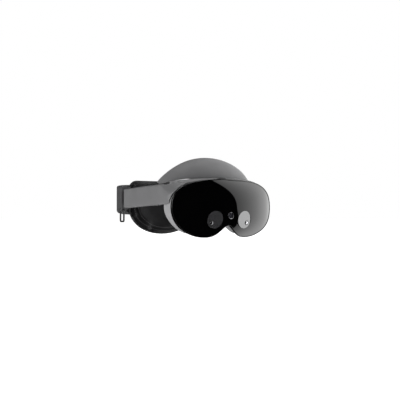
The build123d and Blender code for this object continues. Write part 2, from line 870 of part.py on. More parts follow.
def hood(inset):
    """The space under a hood that starts at the visor's upper edge and widens backwards."""
    half = visor_outline[:5]
    ring = [(-x, z) for x, z in reversed(half[1:])] + half
    sections = []
    for depth, growth in hood_steps:
        edge = shifted(ring, growth - inset)
        with BuildSketch(facing(depth)) as section:
            with BuildLine():
                Spline(edge)
                Polyline(edge[-1], (edge[-1][0], 0), (edge[0][0], 0), edge[0])
            make_face()
        sections.append(section.sketch.faces()[0])
    with BuildPart() as space:
        loft(sections, ruled=True)
    return space.part


def arm_pocket(side):
    """The hollow inside one arm: speaker room in front, tongue channel behind."""
    x_end = tongue_x[1] + running_gap
    speaker_z = (speaker_pocket_z[0], speaker_pocket_z[1])
    channel_z = (tongue_z[0] - running_gap, tongue_z[1] + running_gap)
    room = block((arm_inner_x - 1, speaker_pocket_floor_x), speaker_pocket, speaker_z)
    channel = block((arm_inner_x - 1, x_end), (speaker_pocket[1] - 1, arm_end_depth + 1), channel_z)
    pocket = room + channel
    return pocket if side > 0 else to_other_side(pocket)


brow_and_arms = plan_band(halo_outer, halo_inner)
brow_corners = [(5, 80), (5, 100), (38, 100)]
halo_side = side_profile(arm_upper_edge, arm_lower_edge + shoulder_lower_edge[1:], brow_corners)
housing_clearance = housing_body(panel_gap, (housing_front_depth, housing_back_depth))
key_floor = (45.0, speaker_pocket_z[0] + 1)


def key_opening(side, size, gap):
    """Slot through the floor of one arm for a key."""
    x_range = sorted((side * (key_x - size[0] / 2 - gap), side * (key_x + size[0] / 2 + gap)))
    depths = (key_depth - size[1] / 2 - gap, key_depth + size[1] / 2 + gap)
    return block(x_range, depths, key_floor)


with BuildPart() as halo_frame:
    add(extrude(brow_and_arms, amount=120, mode=Mode.PRIVATE))
    add(halo_side, mode=Mode.INTERSECT)
    add(arch(0, 30, (0, 200)), mode=Mode.INTERSECT)
    arm_edges = [edge for edge in halo_frame.edges() if edge.length > long_edge]
    arm_edges = [edge for edge in arm_edges if edge.bounding_box().max.Y > 0]
    fillet([edge for edge in arm_edges if abs(edge.center().X) > arm_inner_x + 1], radius=arm_round)
    add(hood(0), mode=Mode.INTERSECT)
    add(outline_prism(0.5), mode=Mode.SUBTRACT)
    add(housing_clearance, mode=Mode.SUBTRACT)
    for side in (-1, 1):
        add(arm_pocket(side), mode=Mode.SUBTRACT)
    add(key_opening(-1, power_key, fitted_gap), mode=Mode.SUBTRACT)
    add(key_opening(1, volume_key, 2 * fitted_gap), mode=Mode.SUBTRACT)
    add(cross_rod(key_depth, key_pivot_z, key_pivot_radius + bore_gap, (86, 91.9)), mode=Mode.SUBTRACT)
    status_hole = Cylinder(status_radius + bore_gap, 8, mode=Mode.PRIVATE)
    add(Pos(-key_x, row_y(status_depth), 52) * status_hole, mode=Mode.SUBTRACT)

halo_frame.part.label = "halo_frame"
export_step(halo_frame.part, "parts/halo_frame.step")


# --- Arm covers, speakers, tongues -----------------------------------------


def arm_cover(side):
    """Inner cover of one arm, thick behind the speaker to guide the tongue."""
    face_x = tongue_x[0] - running_gap
    thin = block(
        (arm_inner_x, arm_inner_x + cover_thickness),
        (speaker_pocket[0] + fitted_gap, speaker_pocket[1]),
        (speaker_pocket_z[0] + fitted_gap, speaker_pocket_z[1] - fitted_gap),
    )
    thick = block(
        (arm_inner_x, face_x),
        (speaker_pocket[1] - 1, arm_end_depth - fitted_gap),
        (tongue_z[0] + bore_gap, tongue_z[1] - bore_gap),
    )
    step_depths = (speaker_pocket[1] - 1, speaker_pocket[1] + 1)
    cover = thin + thick - block((80, 90), step_depths, (40, speaker_pocket_z[0]))
    for i in range(grille_slots):
        slot_z = speaker_centre[2] + (i - (grille_slots - 1) / 2) * grille_step
        cover -= block((80, 90), grille_depths, (slot_z - grille_slot / 2, slot_z + grille_slot / 2))
    if side > 0:
        cover -= cross_rod(key_depth, key_pivot_z, key_pivot_radius + bore_gap, (85.1, 90))
    return cover if side > 0 else to_other_side(cover)


def speaker(side):
    """Flat loudspeaker with a raised cone ring on its head side."""
    x, depth, z = speaker_centre
    size_x, size_y, size_z = speaker_size
    depths = (depth - size_y / 2, depth + size_y / 2)
    body = block((x - 1.4, x + size_x / 2), depths, (z - size_z / 2, z + size_z / 2))
    body += cross_rod(depth, z, size_z / 2 - 1, (x - size_x / 2, x))
    body -= cross_rod(depth, z, size_z / 2 - 2.4, (x - size_x / 2 - 1, x - 1.2))
    return body if side > 0 else to_other_side(body)


def strap_tongue(side):
    """Flat tongue fixed in the rear unit, grooved for the toothed band."""
    tongue = block(tongue_x, tongue_depths, tongue_z)
    tongue = fillet(tongue.edges().filter_by(Axis.X).group_by(Axis.Y)[0], 3)
    groove_depths = (tongue_depths[0] - 1, tongue_depths[1] + 1)
    tongue -= block((tongue_x[0] - 1, tongue_x[0] + groove_depth), groove_depths, groove_z)
    tongue -= cross_rod(pin_depth, pin_z, pin_radius + bore_gap, (80, 96))
    return tongue if side > 0 else to_other_side(tongue)


def tooth_band(side):
    """Thin band in the tongue's groove, bending round towards the rack behind."""
    path = [(band_bend[0][0], band_front)] + band_bend
    with BuildPart() as band:
        with BuildSketch(Plane.XY.offset(band_z[0])):
            with BuildLine():
                Line(*from_above(path[0:2]))
                Spline(from_above(path[1:]), tangents=((0, 1), (-1, 0.6)))
                other = shifted(path, band_thickness / 2)
                Line(*from_above(other[0:2]))
                Spline(from_above(other[1:]), tangents=((0, 1), (-1, 0.6)))
                Line(*from_above([path[0], other[0]]))
                Line(*from_above([path[-1], other[-1]]))
            make_face()
        extrude(amount=band_z[1] - band_z[0])
    return band.part if side > 0 else to_other_side(band.part)


for side, name in ((-1, "right"), (1, "left")):
    for piece, label in (
        (arm_cover(side), f"arm_cover_{name}"),
        (speaker(side), f"speaker_{name}"),
        (strap_tongue(side), f"strap_tongue_{name}"),
        (tooth_band(side), f"tooth_band_{name}"),
    ):
        piece.label = label
        export_step(piece, f"parts/{label}.step")


# --- Keys and status lens --------------------------------------------------

arm_floor = speaker_pocket_z[0]
key_bottom = 50.6 - key_proud
pocket_half = 2.2


def key(size, flange_z):
    """A key cap with a wider flange that keeps it in the arm."""
    with BuildPart() as cap:
        with BuildSketch(Plane.XY.offset(key_bottom)):
            with Locations((key_x, row_y(key_depth))):
                RectangleRounded(size[0], size[1], size[0] / 2 - 0.01)
        extrude(amount=flange_z + 0.5 - key_bottom)
        flange_depths = (key_depth - size[1] / 2 - 1.5, key_depth + size[1] / 2 + 1.5)
        add(block((key_x - pocket_half, key_x + pocket_half), flange_depths, (flange_z, flange_z + 1)))
    return cap.part


power_button = to_other_side(key(power_key, arm_floor + running_gap))
volume_rocker = key(volume_key, arm_floor + 0.6)
volume_rocker += cross_rod(key_depth, key_pivot_z, key_pivot_radius, (85.3, 91.8))
board_left = block((86.5, 90.7), (key_depth - 10, key_depth + 10), (56.5, 57.3))
board_right = to_other_side(block((86.5, 90.7), (key_depth - 8, key_depth + 8), (56.0, 56.8)))
with BuildPart() as key_boards:
    add(board_left)
    add(board_right)
key_boards.part.label = "key_boards"
export_step(key_boards.part, "parts/key_boards.step")

status_lens = Pos(-key_x, row_y(status_depth), 52.3) * Cylinder(status_radius, 3)
for piece, name in (
    (power_button, "power_button"),
    (volume_rocker, "volume_rocker"),
    (status_lens, "status_lens"),
):
    piece.label = name
    export_step(piece, f"parts/{name}.step")


# --- Top cover and forehead rest -------------------------------------------


def cover_region(inset, back):
    """Region inside the brow seen from above, closed at the back."""
    ring = shifted(halo_inner, inset)
    ring = [(x, depth) for x, depth in ring if depth < back - 2]
    corner_x = ring[-1][0] + cover_corner_step
    with BuildSketch(Plane.XY.offset(cover_bottom_z)) as region:
        with BuildLine():
            Spline(from_above([(-x, depth) for x, depth in reversed(ring[1:])] + ring))
            for sign in (-1, 1):
                last = (sign * ring[-1][0], row_y(ring[-1][1]))
                Line(last, (sign * corner_x, row_y(back)))
            Line((-corner_x, row_y(back)), (corner_x, row_y(back)))
        make_face()
    return region.sketch


cover_back = housing_back_depth - panel_gap
guide_x = carriage_half_width + fitted_gap
dial_hole_radius = dial_shaft_radius + 2.4
with BuildPart() as top_cover:
    add(extrude(cover_region(panel_gap, cover_back), amount=20, mode=Mode.PRIVATE))
    add(arch(cover_drop, 70, (0, 80)), mode=Mode.INTERSECT)
    add(hood(cover_drop), mode=Mode.INTERSECT)
    hollow_region = cover_region(panel_gap + cover_wall, cover_back - cover_wall)
    hollow = extrude(hollow_region, amount=20, mode=Mode.PRIVATE)
    hollow = hollow & arch(cover_drop + cover_wall, 70, (0, 80)) & hood(cover_drop + hood_wall)
    add(hollow, mode=Mode.SUBTRACT)
    for side in (-1, 1):
        rib_x = sorted((side * guide_x, side * (guide_x + guide_rib)))
        lip_x = sorted((side * (guide_x - 1.6), side * (guide_x + guide_rib)))
        add(block(rib_x, (24, 57), (carriage_z[0] - 1.1, 91)))
        add(block(lip_x, (24, 57), (carriage_z[0] - 1.1, carriage_z[0] - running_gap)))
    add(front_space, mode=Mode.SUBTRACT)
    opening_z = (carriage_z[0] - fitted_gap, carriage_z[1] + fitted_gap)
    add(block((-guide_x, guide_x), (50, 60), opening_z), mode=Mode.SUBTRACT)
    with BuildSketch(Plane.XY.offset(dial_z[0] - running_gap)):
        with Locations((0, row_y(dial_depth))):
            Circle(dial_radius + panel_gap)
    extrude(amount=5, mode=Mode.SUBTRACT)
    with BuildSketch(Plane.XY.offset(85)):
        with Locations((0, row_y(dial_depth))):
            Circle(dial_hole_radius)
    extrude(amount=10, mode=Mode.SUBTRACT)

dial_pitch = dial_module * dial_teeth / 2
dial_foot = Vector(0, row_y(dial_depth), carriage_z[0])
dial_rack_plane = Plane(origin=dial_foot + Vector(dial_pitch, 0, 0), x_dir=(0, -1, 0), z_dir=(0, 0, 1))
dial_gear_plane = Plane(origin=dial_foot, x_dir=(1, 0, 0), z_dir=(0, 0, 1))
carriage_height = carriage_z[1] - carriage_z[0]


def leaning_shell(radii, half_sizes, foot_z):
    """A leaning curved slab with a half-oval front view."""
    lean = math.radians(forehead_lean)
    with BuildPart() as shell:
        with BuildSketch(Plane.XY.offset(forehead_pad_z - 4)):
            shift = -4 * math.tan(lean)
            with Locations((0, row_y(forehead_centre_depth) + shift)):
                Circle(radii[1])
                Circle(radii[0], mode=Mode.SUBTRACT)
        extrude(amount=40, dir=(0, math.sin(lean), math.cos(lean)))
        with BuildSketch(facing(50)):
            with Locations((0, foot_z)):
                Ellipse(*half_sizes)
            with Locations((0, foot_z - 50)):
                Rectangle(200, 100, mode=Mode.SUBTRACT)
        extrude(amount=-80, mode=Mode.INTERSECT)
    return shell.part


pad_radii = (forehead_radius, forehead_radius + forehead_pad)
plate_radii = (pad_radii[1] + panel_gap, pad_radii[1] + panel_gap + forehead_plate_thickness)
pad_half = forehead_pad_half
plate_half = (pad_half[0] + 1, pad_half[1] + 1)
forehead_cushion = leaning_shell(pad_radii, pad_half, forehead_pad_z)
with BuildPart() as forehead_plate:
    add(leaning_shell(plate_radii, plate_half, forehead_pad_z - 1))
    width = (-carriage_half_width, carriage_half_width)
    add(block(width, (riser_front, carriage_depths[1] + 1.5), (carriage_z[0], riser_top)))
    for x, z in dome_posts:
        for sign in (-1, 1):
            add(rod(sign * x, z, dome_post_radius, (dome_post_front, 75.5)))
    add(block(width, carriage_depths, carriage_z))
    window_x = (-dial_pitch - 1.7, dial_pitch + 1.7)
    window_depths = (dial_depth - dial_rack_ends[1] - 0.4, dial_depth + dial_rack_ends[0] * -1 + 0.4)
    add(block(window_x, window_depths, (80, 95)), mode=Mode.SUBTRACT)
    rack = rack_sketch(dial_rack_plane, dial_module, dial_rack_ends, rack_back)
    add(extrude(rack, amount=carriage_height, mode=Mode.PRIVATE))

with BuildPart() as distance_dial:
    with BuildSketch(Plane.XY.offset(dial_z[0])):
        with Locations((0, row_y(dial_depth))):
            Circle(dial_radius)
    extrude(amount=dial_z[1] - dial_z[0])
    chamfer(distance_dial.edges().group_by(Axis.Z)[-1], length=0.5)
    with BuildSketch(Plane.XY.offset(dial_z[1] + 0.1)):
        with Locations((0, row_y(dial_depth))):
            with PolarLocations(dial_radius + 0.35, dial_grooves):
                Circle(0.8)
    extrude(amount=-5, mode=Mode.SUBTRACT)
    with BuildSketch(Plane.XY.offset(carriage_z[1] - 0.5)):
        with Locations((0, row_y(dial_depth))):
            Circle(dial_shaft_radius)
    extrude(amount=dial_z[0] - carriage_z[1] + 1)
    gear = gear_sketch(dial_gear_plane, dial_module, dial_teeth)
    add(extrude(gear, amount=carriage_height, mode=Mode.PRIVATE))


def dome_point(turn, climb):
    """Point on the forehead shell: turn sweeps side to side, climb runs from foot to rim."""
    sweep = math.sin(turn)
    x = rim_half_width * sweep
    foot_depth = dome_base_centre - dome_base_reach * math.cos(turn)
    rim_depth = dome_rim_depth + 13 * abs(sweep) ** 6
    reach = abs(sweep / math.sin(math.radians(last_turn)))
    foot_z = dome_foot_z + foot_rise - foot_drop * reach**foot_power
    rim_z = dome_foot_z + dome_rim_height * math.cos(turn) ** 1.5
    depth = rim_depth - (rim_depth - foot_depth) * math.cos(climb)
    return Vector(x, row_y(depth), foot_z + (rim_z - foot_z) * math.sin(climb))


turns = [math.radians(-last_turn + 2 * last_turn * i / 32) for i in range(33)]
climbs = [math.radians(90 * i / 12) for i in range(13)]
dome_face = Face.make_surface_from_array_of_points([[dome_point(t, c) for c in climbs] for t in turns])
forehead_shell = thicken(dome_face, amount=-dome_wall)

for piece, name in (
    (top_cover.part, "top_cover"),
    (forehead_cushion, "forehead_cushion"),
    (forehead_plate.part, "forehead_plate"),
    (distance_dial.part, "distance_dial"),
    (forehead_shell, "forehead_shell"),
):
    piece.label = name
    export_step(piece, f"parts/{name}.step")


# --- Rear unit -------------------------------------------------------------


def pad_back(x):
    return pad_back_depth - pad_back_curve * (abs(x) / pad_half_width) ** pad_back_power


def pad_front(x):
    return pad_front_depth - pad_front_curve * (x / pad_half_width) ** 2


def full_path(half):
    """A path from the left side round the back to the right side."""
    return half + [(-x, depth) for x, depth in reversed(half[:-1])]


def outer_path(inset):
    """The rear unit's outer wall seen from above, moved inwards by an inset."""
    exponent = 2 / rear_power
    half = [(rear_half_width - 0.5, rear_front_depth)]
    for i in range(7):
        t = math.radians(90 * i / 6)
        x = rear_half_width * math.cos(t) ** exponent if i < 6 else 0
        half.append((x, rear_axis_depth + (rear_back_depth - rear_axis_depth) * math.sin(t) ** exponent))
    return shifted(full_path(half), inset)


def head_path(outset):
    """The rear unit's head side seen from above, moved away from the head by an outset."""
    half = list(rear_head_side)
    half += [(x, pad_back(x) + pad_plate_thickness + panel_gap) for x in (73, 66, 58, 48, 36, 24, 12, 0)]
    return shifted(full_path(half), -outset)


def between(path_a, path_b, z_range):
    """A solid between two paths seen from above and two heights."""
    with BuildPart() as solid:
        with BuildSketch(Plane.XY.offset(z_range[0])):
            with BuildLine():
                Spline(from_above(path_a))
                Spline(from_above(path_b))
                Line(*from_above([path_a[0], path_b[0]]))
                Line(*from_above([path_a[-1], path_b[-1]]))
            make_face()
        extrude(amount=z_range[1] - z_range[0])
    return solid.part


def rear_profile(inset):
    """The rear unit's side view as a bar along X, made smaller by an inset."""
    upper = [(depth, z - inset) for depth, z in rear_upper_edge]
    lower = [(depth, z + inset) for depth, z in rear_lower_edge]
    return side_profile(upper, lower, [])


def pad_outline(growth):
    """The rear pad's outline as a bar along Y: flat top, round corners, oval foot."""
    side = pad_half_width + growth
    corner = pad_corner + growth
    low, high = pad_straight_z
    top = pad_height + growth
    flat = pad_half_width - pad_corner
    with BuildPart() as bar:
        with BuildSketch(facing(220)):
            with BuildLine():
                EllipticalCenterArc((0, low), side, pad_bottom_radius + growth, start_angle=180, arc_size=180)
                Line((side, low), (side, high))
                CenterArc((flat, high), corner, 0, 90)
                Line((flat, top), (-flat, top))
                CenterArc((-flat, high), corner, 90, 90)
                Line((-side, high), (-side, low))
            make_face()
        extrude(amount=-50)
    return bar.part


def pad_slab(front, back, growth):
    """A curved slab with the pad's outline between two depth curves."""
    across = [pad_half_width + 2 - i * (pad_half_width + 2) / 4 for i in range(9)]
    slab = between([(x, front(x)) for x in across], [(x, back(x)) for x in across], (-2, 102))
    return slab & pad_outline(growth)


all_pad_screws = [(sign * x, z) for sign in (-1, 1) for x, z in pad_screws_at]
screw_seat = pad_back(pad_screws_at[0][0])
rear_cushion = pad_slab(pad_front, lambda x: pad_back(x) - panel_gap, 0)
pad_plate = pad_slab(pad_back, lambda x: pad_back(x) + pad_plate_thickness, -1.5)
rear_cover = between(head_path(0), head_path(rear_cover_thickness), (25, 95)) & rear_profile(0.3)
pad_screws = []
for x, z in all_pad_screws:
    shank_hole = rod(x, z, pad_screw_radius + bore_gap, (240, 256))
    pad_plate -= shank_hole + rod(x, z, pad_screw_head_radius + bore_gap, (240, screw_seat + 1.6))
    rear_cover -= rod(x, z, pad_screw_radius, (240, 256))
    head = rod(x, z, pad_screw_head_radius, (screw_seat + 0.4, screw_seat + 1.6))
    pad_screws.append(head + rod(x, z, pad_screw_radius, (screw_seat + 1.6, screw_seat + 6)))
screw_set = Compound(children=pad_screws)

shelf_x = (-62, 62)
drive_pitch = drive_module * drive_teeth / 2
shelf_gap = drive_pitch + (rack_addendum + 0.25) * drive_module + rack_bar + running_gap
port_x = (port_centre[0] - port_size[0] / 2, port_centre[0] + port_size[0] / 2)
port_z = (port_centre[1] - port_size[1] / 2, port_centre[1] + port_size[1] / 2)
port_back = 275.2
port_depths = (port_back - port_length, port_back)
outer_region = between(head_path(rear_cover_thickness + fitted_gap), outer_path(0), (25, 95))
outer_region = outer_region & rear_profile(0)
rear_edges = [edge for edge in outer_region.edges() if edge.length > 2 * long_edge]
outer_edges = [edge for edge in rear_edges if edge.bounding_box().max.Y > row_y(rear_back_depth - 5)]
outer_region = fillet(outer_edges, radius=rear_round)
inner_region = between(head_path(-4), outer_path(rear_wall), (25, 95)) & rear_profile(rear_wall)
inner_region = inner_region & block((-100, 100), (end_block_depth, 300), (20, 100))
rear_housing = outer_region - inner_region
for sign in (-1, 1):
    edge = wheel_z + sign * shelf_gap
    shelf = block(shelf_x, (257, 280), sorted((edge, edge + sign * shelf_thickness)))
    lip_z = sorted((edge - sign * 1.9, edge + sign * shelf_thickness))
    front_lip = pinion_depths[0] - running_gap
    rear_lip = pinion_depths[1] + running_gap
    shelf += block(shelf_x, (front_lip - rack_lip, front_lip), lip_z)
    shelf += block(shelf_x, (rear_lip, rear_lip + rack_lip), lip_z)
    rear_housing += shelf & outer_region
    channel = block(
        (tongue_x[0] - bore_gap, tongue_x[1] + bore_gap),
        (rear_front_depth - 3, end_block_depth + 1),
        (tongue_z[0] - bore_gap, tongue_z[1] + bore_gap),
    )
    pin_hole = cross_rod(pin_depth, pin_z, pin_radius + bore_gap, (pin_x[0] - 0.1, pin_x[1] + 0.1))
    pin_way = block((arm_inner_x - 6, pin_x[0]), (pin_depth - 1, pin_depth + 1), (pin_z - 1, pin_z + 1))
    slots = channel + pin_hole + pin_way
    rear_housing -= slots if sign > 0 else to_other_side(slots)
rear_housing += block(
    (loop_centre[0] - 2.5, loop_centre[0] + 2.5),
    (loop_centre[1] - lug_half_length, loop_centre[1] + lug_half_length),
    (loop_hinge_z - 2.1, loop_hinge_z + 3.5),
)
hinge_bore = (loop_centre[1] - 9, loop_centre[1] + 9)
rear_housing -= rod(loop_centre[0], loop_hinge_z, loop_wire_radius + bore_gap, hinge_bore)
rear_housing -= rod(0, wheel_z, bush_radius + bore_gap, (262, 280))
rear_housing -= block((port_x[0] - 0.1, port_x[1] + 0.1), (270, 280), (port_z[0] - 0.1, port_z[1] + 0.1))

tongue_pins = Compound(
    children=[
        cross_rod(pin_depth, pin_z, pin_radius, pin_x),
        cross_rod(pin_depth, pin_z, pin_radius, (-pin_x[1], -pin_x[0])),
    ]
)
battery_left = between(outer_path(battery_inset[0]), outer_path(battery_inset[1]), battery_z)
battery_left = battery_left & block((60, 100), battery_depths, (40, 90))
battery_right = to_other_side(battery_left)
rear_battery = block((-top_battery[0], top_battery[0]), top_battery[1], top_battery[2])
battery_board = block(board_x, board_depths, board_z) + block(chip_x, chip_depths, chip_z)
port_shell = block(port_x, port_depths, port_z)
port_shell -= block(
    (port_x[0] + port_wall, port_x[1] - port_wall),
    (port_depths[0] + 3, port_depths[1] + 1),
    (port_z[0] + port_wall, port_z[1] - port_wall),
)
port_blade_z = (port_centre[1] - 0.35, port_centre[1] + 0.35)
port_blade_x = (port_x[0] + 1.2, port_x[1] - 1.2)
charge_port = port_shell + block(port_blade_x, (port_depths[0] + 2, port_back - 1), port_blade_z)

for piece, name in (
    (rear_cushion, "rear_cushion"),
    (pad_plate, "rear_pad_plate"),
    (rear_cover, "rear_cover"),
    (screw_set, "pad_screws"),
    (rear_housing, "rear_housing"),
    (tongue_pins, "tongue_pins"),
    (battery_left, "battery_left"),
    (battery_right, "battery_right"),
    (rear_battery, "battery_rear"),
    (battery_board, "battery_board"),
    (charge_port, "charge_port"),
):
    piece.label = name
    export_step(piece, f"parts/{name}.step")


# --- Fit wheel, pinion and racks -------------------------------------------

with BuildPart() as fit_wheel:
    with BuildSketch(facing(wheel_depths[1])):
        with Locations((0, wheel_z)):
            Circle(wheel_radius)
    extrude(amount=wheel_depths[1] - wheel_depths[0])
    fillet(fit_wheel.edges().filter_by(GeomType.CIRCLE).sort_by(Axis.Y)[-1], radius=1.4)
    with BuildSketch(facing(wheel_depths[1] + 1)):
        with Locations((0, wheel_z)):
            with PolarLocations(wheel_radius + 0.5, wheel_grooves):
                Circle(1.2)
    extrude(amount=10, mode=Mode.SUBTRACT)
    with BuildSketch(facing(wheel_depths[1] + 1)):
        with Locations((0, wheel_z)):
            Circle(wheel_radius - 5)
    extrude(amount=2.2, mode=Mode.SUBTRACT)
    add(rod(0, wheel_z, wheel_shaft_radius, (pinion_depths[0] - 0.7, wheel_depths[0] + 1)))

with BuildPart() as wheel_bush:
    add(rod(0, wheel_z, bush_radius, (pinion_depths[1] + 1.6, rear_back_depth + 0.3)))
    add(rod(0, wheel_z, bush_radius + 2, (271.5, 274.6)))
    add(rod(0, wheel_z, wheel_shaft_radius + bore_gap, (260, 280)), mode=Mode.SUBTRACT)

pinion_plane = Plane(origin=(0, row_y(pinion_depths[0]), wheel_z), x_dir=(1, 0, 0), z_dir=(0, -1, 0))
pinion_length = pinion_depths[1] - pinion_depths[0]
with BuildPart() as drive_pinion:
    gear = gear_sketch(pinion_plane, drive_module, drive_teeth)
    add(extrude(gear, amount=-pinion_length, mode=Mode.PRIVATE))
    add(rod(0, wheel_z, wheel_shaft_radius, (250, 270)), mode=Mode.SUBTRACT)

for side, name in ((-1, "right"), (1, "left")):
    plane = rack_plane(side, pinion_depths[0], wheel_z, drive_pitch)
    drive_rack = extrude(rack_sketch(plane, drive_module, rack_ends, rack_bar), amount=-pinion_length)
    drive_rack.label = f"drive_rack_{name}"
    export_step(drive_rack, f"parts/drive_rack_{name}.step")

loop_plane = Plane(origin=(loop_centre[0], row_y(loop_centre[1]), 0), x_dir=(0, 1, 0), z_dir=(1, 0, 0))
half = loop_half_width
with BuildPart() as cable_loop:
    with BuildLine(loop_plane) as loop_path:
        FilletPolyline(
            (half, loop_hinge_z),
            (half, loop_bottom_z),
            (-half, loop_bottom_z),
            (-half, loop_hinge_z),
            radius=loop_corner,
            close=True,
        )
    with BuildSketch(Plane(origin=loop_path.wire() @ 0, z_dir=loop_path.wire() % 0)):
        Circle(loop_wire_radius)
    sweep(path=loop_path.wire())

for piece, name in (
    (fit_wheel, "fit_wheel"),
    (wheel_bush, "wheel_bush"),
    (drive_pinion, "drive_pinion"),
    (cable_loop, "cable_loop"),
):
    piece.part.label = name
    export_step(piece.part, f"parts/{name}.step")
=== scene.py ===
import bpy
import bmesh
import json
import math
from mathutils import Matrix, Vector


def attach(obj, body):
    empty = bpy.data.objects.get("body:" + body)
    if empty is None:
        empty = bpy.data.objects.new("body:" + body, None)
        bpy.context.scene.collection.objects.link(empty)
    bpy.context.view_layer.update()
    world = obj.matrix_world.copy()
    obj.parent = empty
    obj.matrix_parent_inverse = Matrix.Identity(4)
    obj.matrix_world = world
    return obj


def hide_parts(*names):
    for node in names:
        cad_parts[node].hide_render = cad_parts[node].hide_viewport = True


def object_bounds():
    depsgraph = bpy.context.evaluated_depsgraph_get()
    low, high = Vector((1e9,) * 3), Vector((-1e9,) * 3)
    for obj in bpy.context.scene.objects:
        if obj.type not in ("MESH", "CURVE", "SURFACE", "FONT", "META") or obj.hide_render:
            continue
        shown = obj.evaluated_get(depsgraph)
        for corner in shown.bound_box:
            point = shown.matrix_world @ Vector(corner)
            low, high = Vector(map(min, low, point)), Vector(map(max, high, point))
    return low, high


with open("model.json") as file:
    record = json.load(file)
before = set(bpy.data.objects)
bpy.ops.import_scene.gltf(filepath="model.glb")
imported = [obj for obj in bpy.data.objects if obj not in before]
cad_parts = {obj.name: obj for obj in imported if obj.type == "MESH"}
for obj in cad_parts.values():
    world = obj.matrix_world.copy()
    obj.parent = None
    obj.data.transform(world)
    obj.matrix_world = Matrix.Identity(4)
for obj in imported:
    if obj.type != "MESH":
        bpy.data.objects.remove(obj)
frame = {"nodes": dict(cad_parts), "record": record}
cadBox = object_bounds()
record = frame["record"]
bodyOf = {node: body for body, nodes in record["behaviour"]["bodies"].items() for node in nodes}
slotOf = {part["node"]: part["material_slot"] for part in record["subparts"]}
visorFrontY = cadBox[0][1]  # the visor's foremost point, all depths count back from it
print("frame loaded,", len(bodyOf), "nodes")


# the camera stands level with the visor, in front and to the wearer's right
cameraSetup = {
    "lens": 73.1, "distance": 1.25, "azimuth": -30.0, "height": 0.0333,
    "aimLeft": 0.0483, "aimUp": 0.025, "clipStart": 0.01,
}


def setCamera(setup):
    turn = math.radians(setup["azimuth"])
    target = Vector((0, visorFrontY, setup["height"]))
    toCamera = Vector((math.sin(turn), -math.cos(turn), 0))
    rightward = Vector((math.cos(turn), math.sin(turn), 0))
    camera = bpy.data.objects.new("camera", bpy.data.cameras.new("camera"))
    camera.data.lens = setup["lens"]
    camera.data.clip_start = setup["clipStart"]
    camera.location = target + toCamera * setup["distance"]
    aim = target - rightward * setup["aimLeft"] + Vector((0, 0, setup["aimUp"]))
    camera.rotation_euler = (aim - camera.location).to_track_quat("-Z", "Y").to_euler()
    bpy.context.scene.collection.objects.link(camera)
    bpy.context.scene.camera = camera


setCamera(cameraSetup)


# every finish is built from noise in object coordinates
def newFinish(name, colour, roughness, metallic=0.0):
    finish = bpy.data.materials.new(name)
    finish.use_nodes = True
    shader = finish.node_tree.nodes["Principled BSDF"]
    shader.inputs["Base Color"].default_value = (*colour, 1)
    shader.inputs["Roughness"].default_value = roughness
    shader.inputs["Metallic"].default_value = metallic
    return finish, finish.node_tree, shader


def objectPoint(tree, stretch=(1, 1, 1)):
    coords = tree.nodes.new("ShaderNodeTexCoord")
    mapping = tree.nodes.new("ShaderNodeMapping")
    mapping.inputs["Scale"].default_value = stretch
    tree.links.new(coords.outputs["Object"], mapping.inputs["Vector"])
    return mapping.outputs["Vector"]


def noiseOn(tree, scale, detail=4.0, stretch=(1, 1, 1)):
    noise = tree.nodes.new("ShaderNodeTexNoise")
    noise.inputs["Scale"].default_value = scale
    noise.inputs["Detail"].default_value = detail
    tree.links.new(objectPoint(tree, stretch), noise.inputs["Vector"])
    return noise.outputs["Fac"]


def spread(tree, factor, low, high):
    reach = tree.nodes.new("ShaderNodeMapRange")
    reach.inputs["From Min"].default_value = 0.3
    reach.inputs["From Max"].default_value = 0.7
    reach.inputs["To Min"].default_value = low
    reach.inputs["To Max"].default_value = high
    tree.links.new(factor, reach.inputs["Value"])
    return reach.outputs["Result"]


def tintBetween(tree, factor, dark, light):
    ramp = tree.nodes.new("ShaderNodeValToRGB")
    ramp.color_ramp.elements[0].position = 0.3
    ramp.color_ramp.elements[1].position = 0.7
    ramp.color_ramp.elements[0].color = (*dark, 1)
    ramp.color_ramp.elements[1].color = (*light, 1)
    tree.links.new(factor, ramp.inputs["Fac"])
    return ramp.outputs["Color"]


def bumpWith(tree, shader, height, strength, distance):
    bump = tree.nodes.new("ShaderNodeBump")
    bump.inputs["Strength"].default_value = strength
    bump.inputs["Distance"].default_value = distance
    tree.links.new(height, bump.inputs["Height"])
    tree.links.new(bump.outputs["Normal"], shader.inputs["Normal"])


def scaled(colour, share):
    return tuple(channel * share for channel in colour)


def satinPlastic(name, colour, roughness, grainScale=2400.0, grainStrength=0.35):
    finish, tree, shader = newFinish(name, colour, roughness)
    mottle = tintBetween(tree, noiseOn(tree, 26.0, 3.0), scaled(colour, 0.93), scaled(colour, 1.06))
    wear = spread(tree, noiseOn(tree, 60.0), roughness - 0.05, roughness + 0.06)
    tree.links.new(mottle, shader.inputs["Base Color"])
    tree.links.new(wear, shader.inputs["Roughness"])
    bumpWith(tree, shader, noiseOn(tree, grainScale, 2.0), grainStrength, 0.00006)
    return finish


def glossVisor():
    finish, tree, shader = newFinish("visorGlossFinish", (0.0006, 0.0006, 0.0007), 0.03)
    tree.links.new(spread(tree, noiseOn(tree, 18.0, 5.0), 0.015, 0.05), shader.inputs["Roughness"])
    shader.inputs["IOR"].default_value = 1.5
    return finish


def windowGlass():
    finish, tree, shader = newFinish("windowCoating", (0.03, 0.03, 0.032), 0.12)
    shader.inputs["IOR"].default_value = 2.4
    tree.links.new(spread(tree, noiseOn(tree, 40.0), 0.09, 0.15), shader.inputs["Roughness"])
    return finish


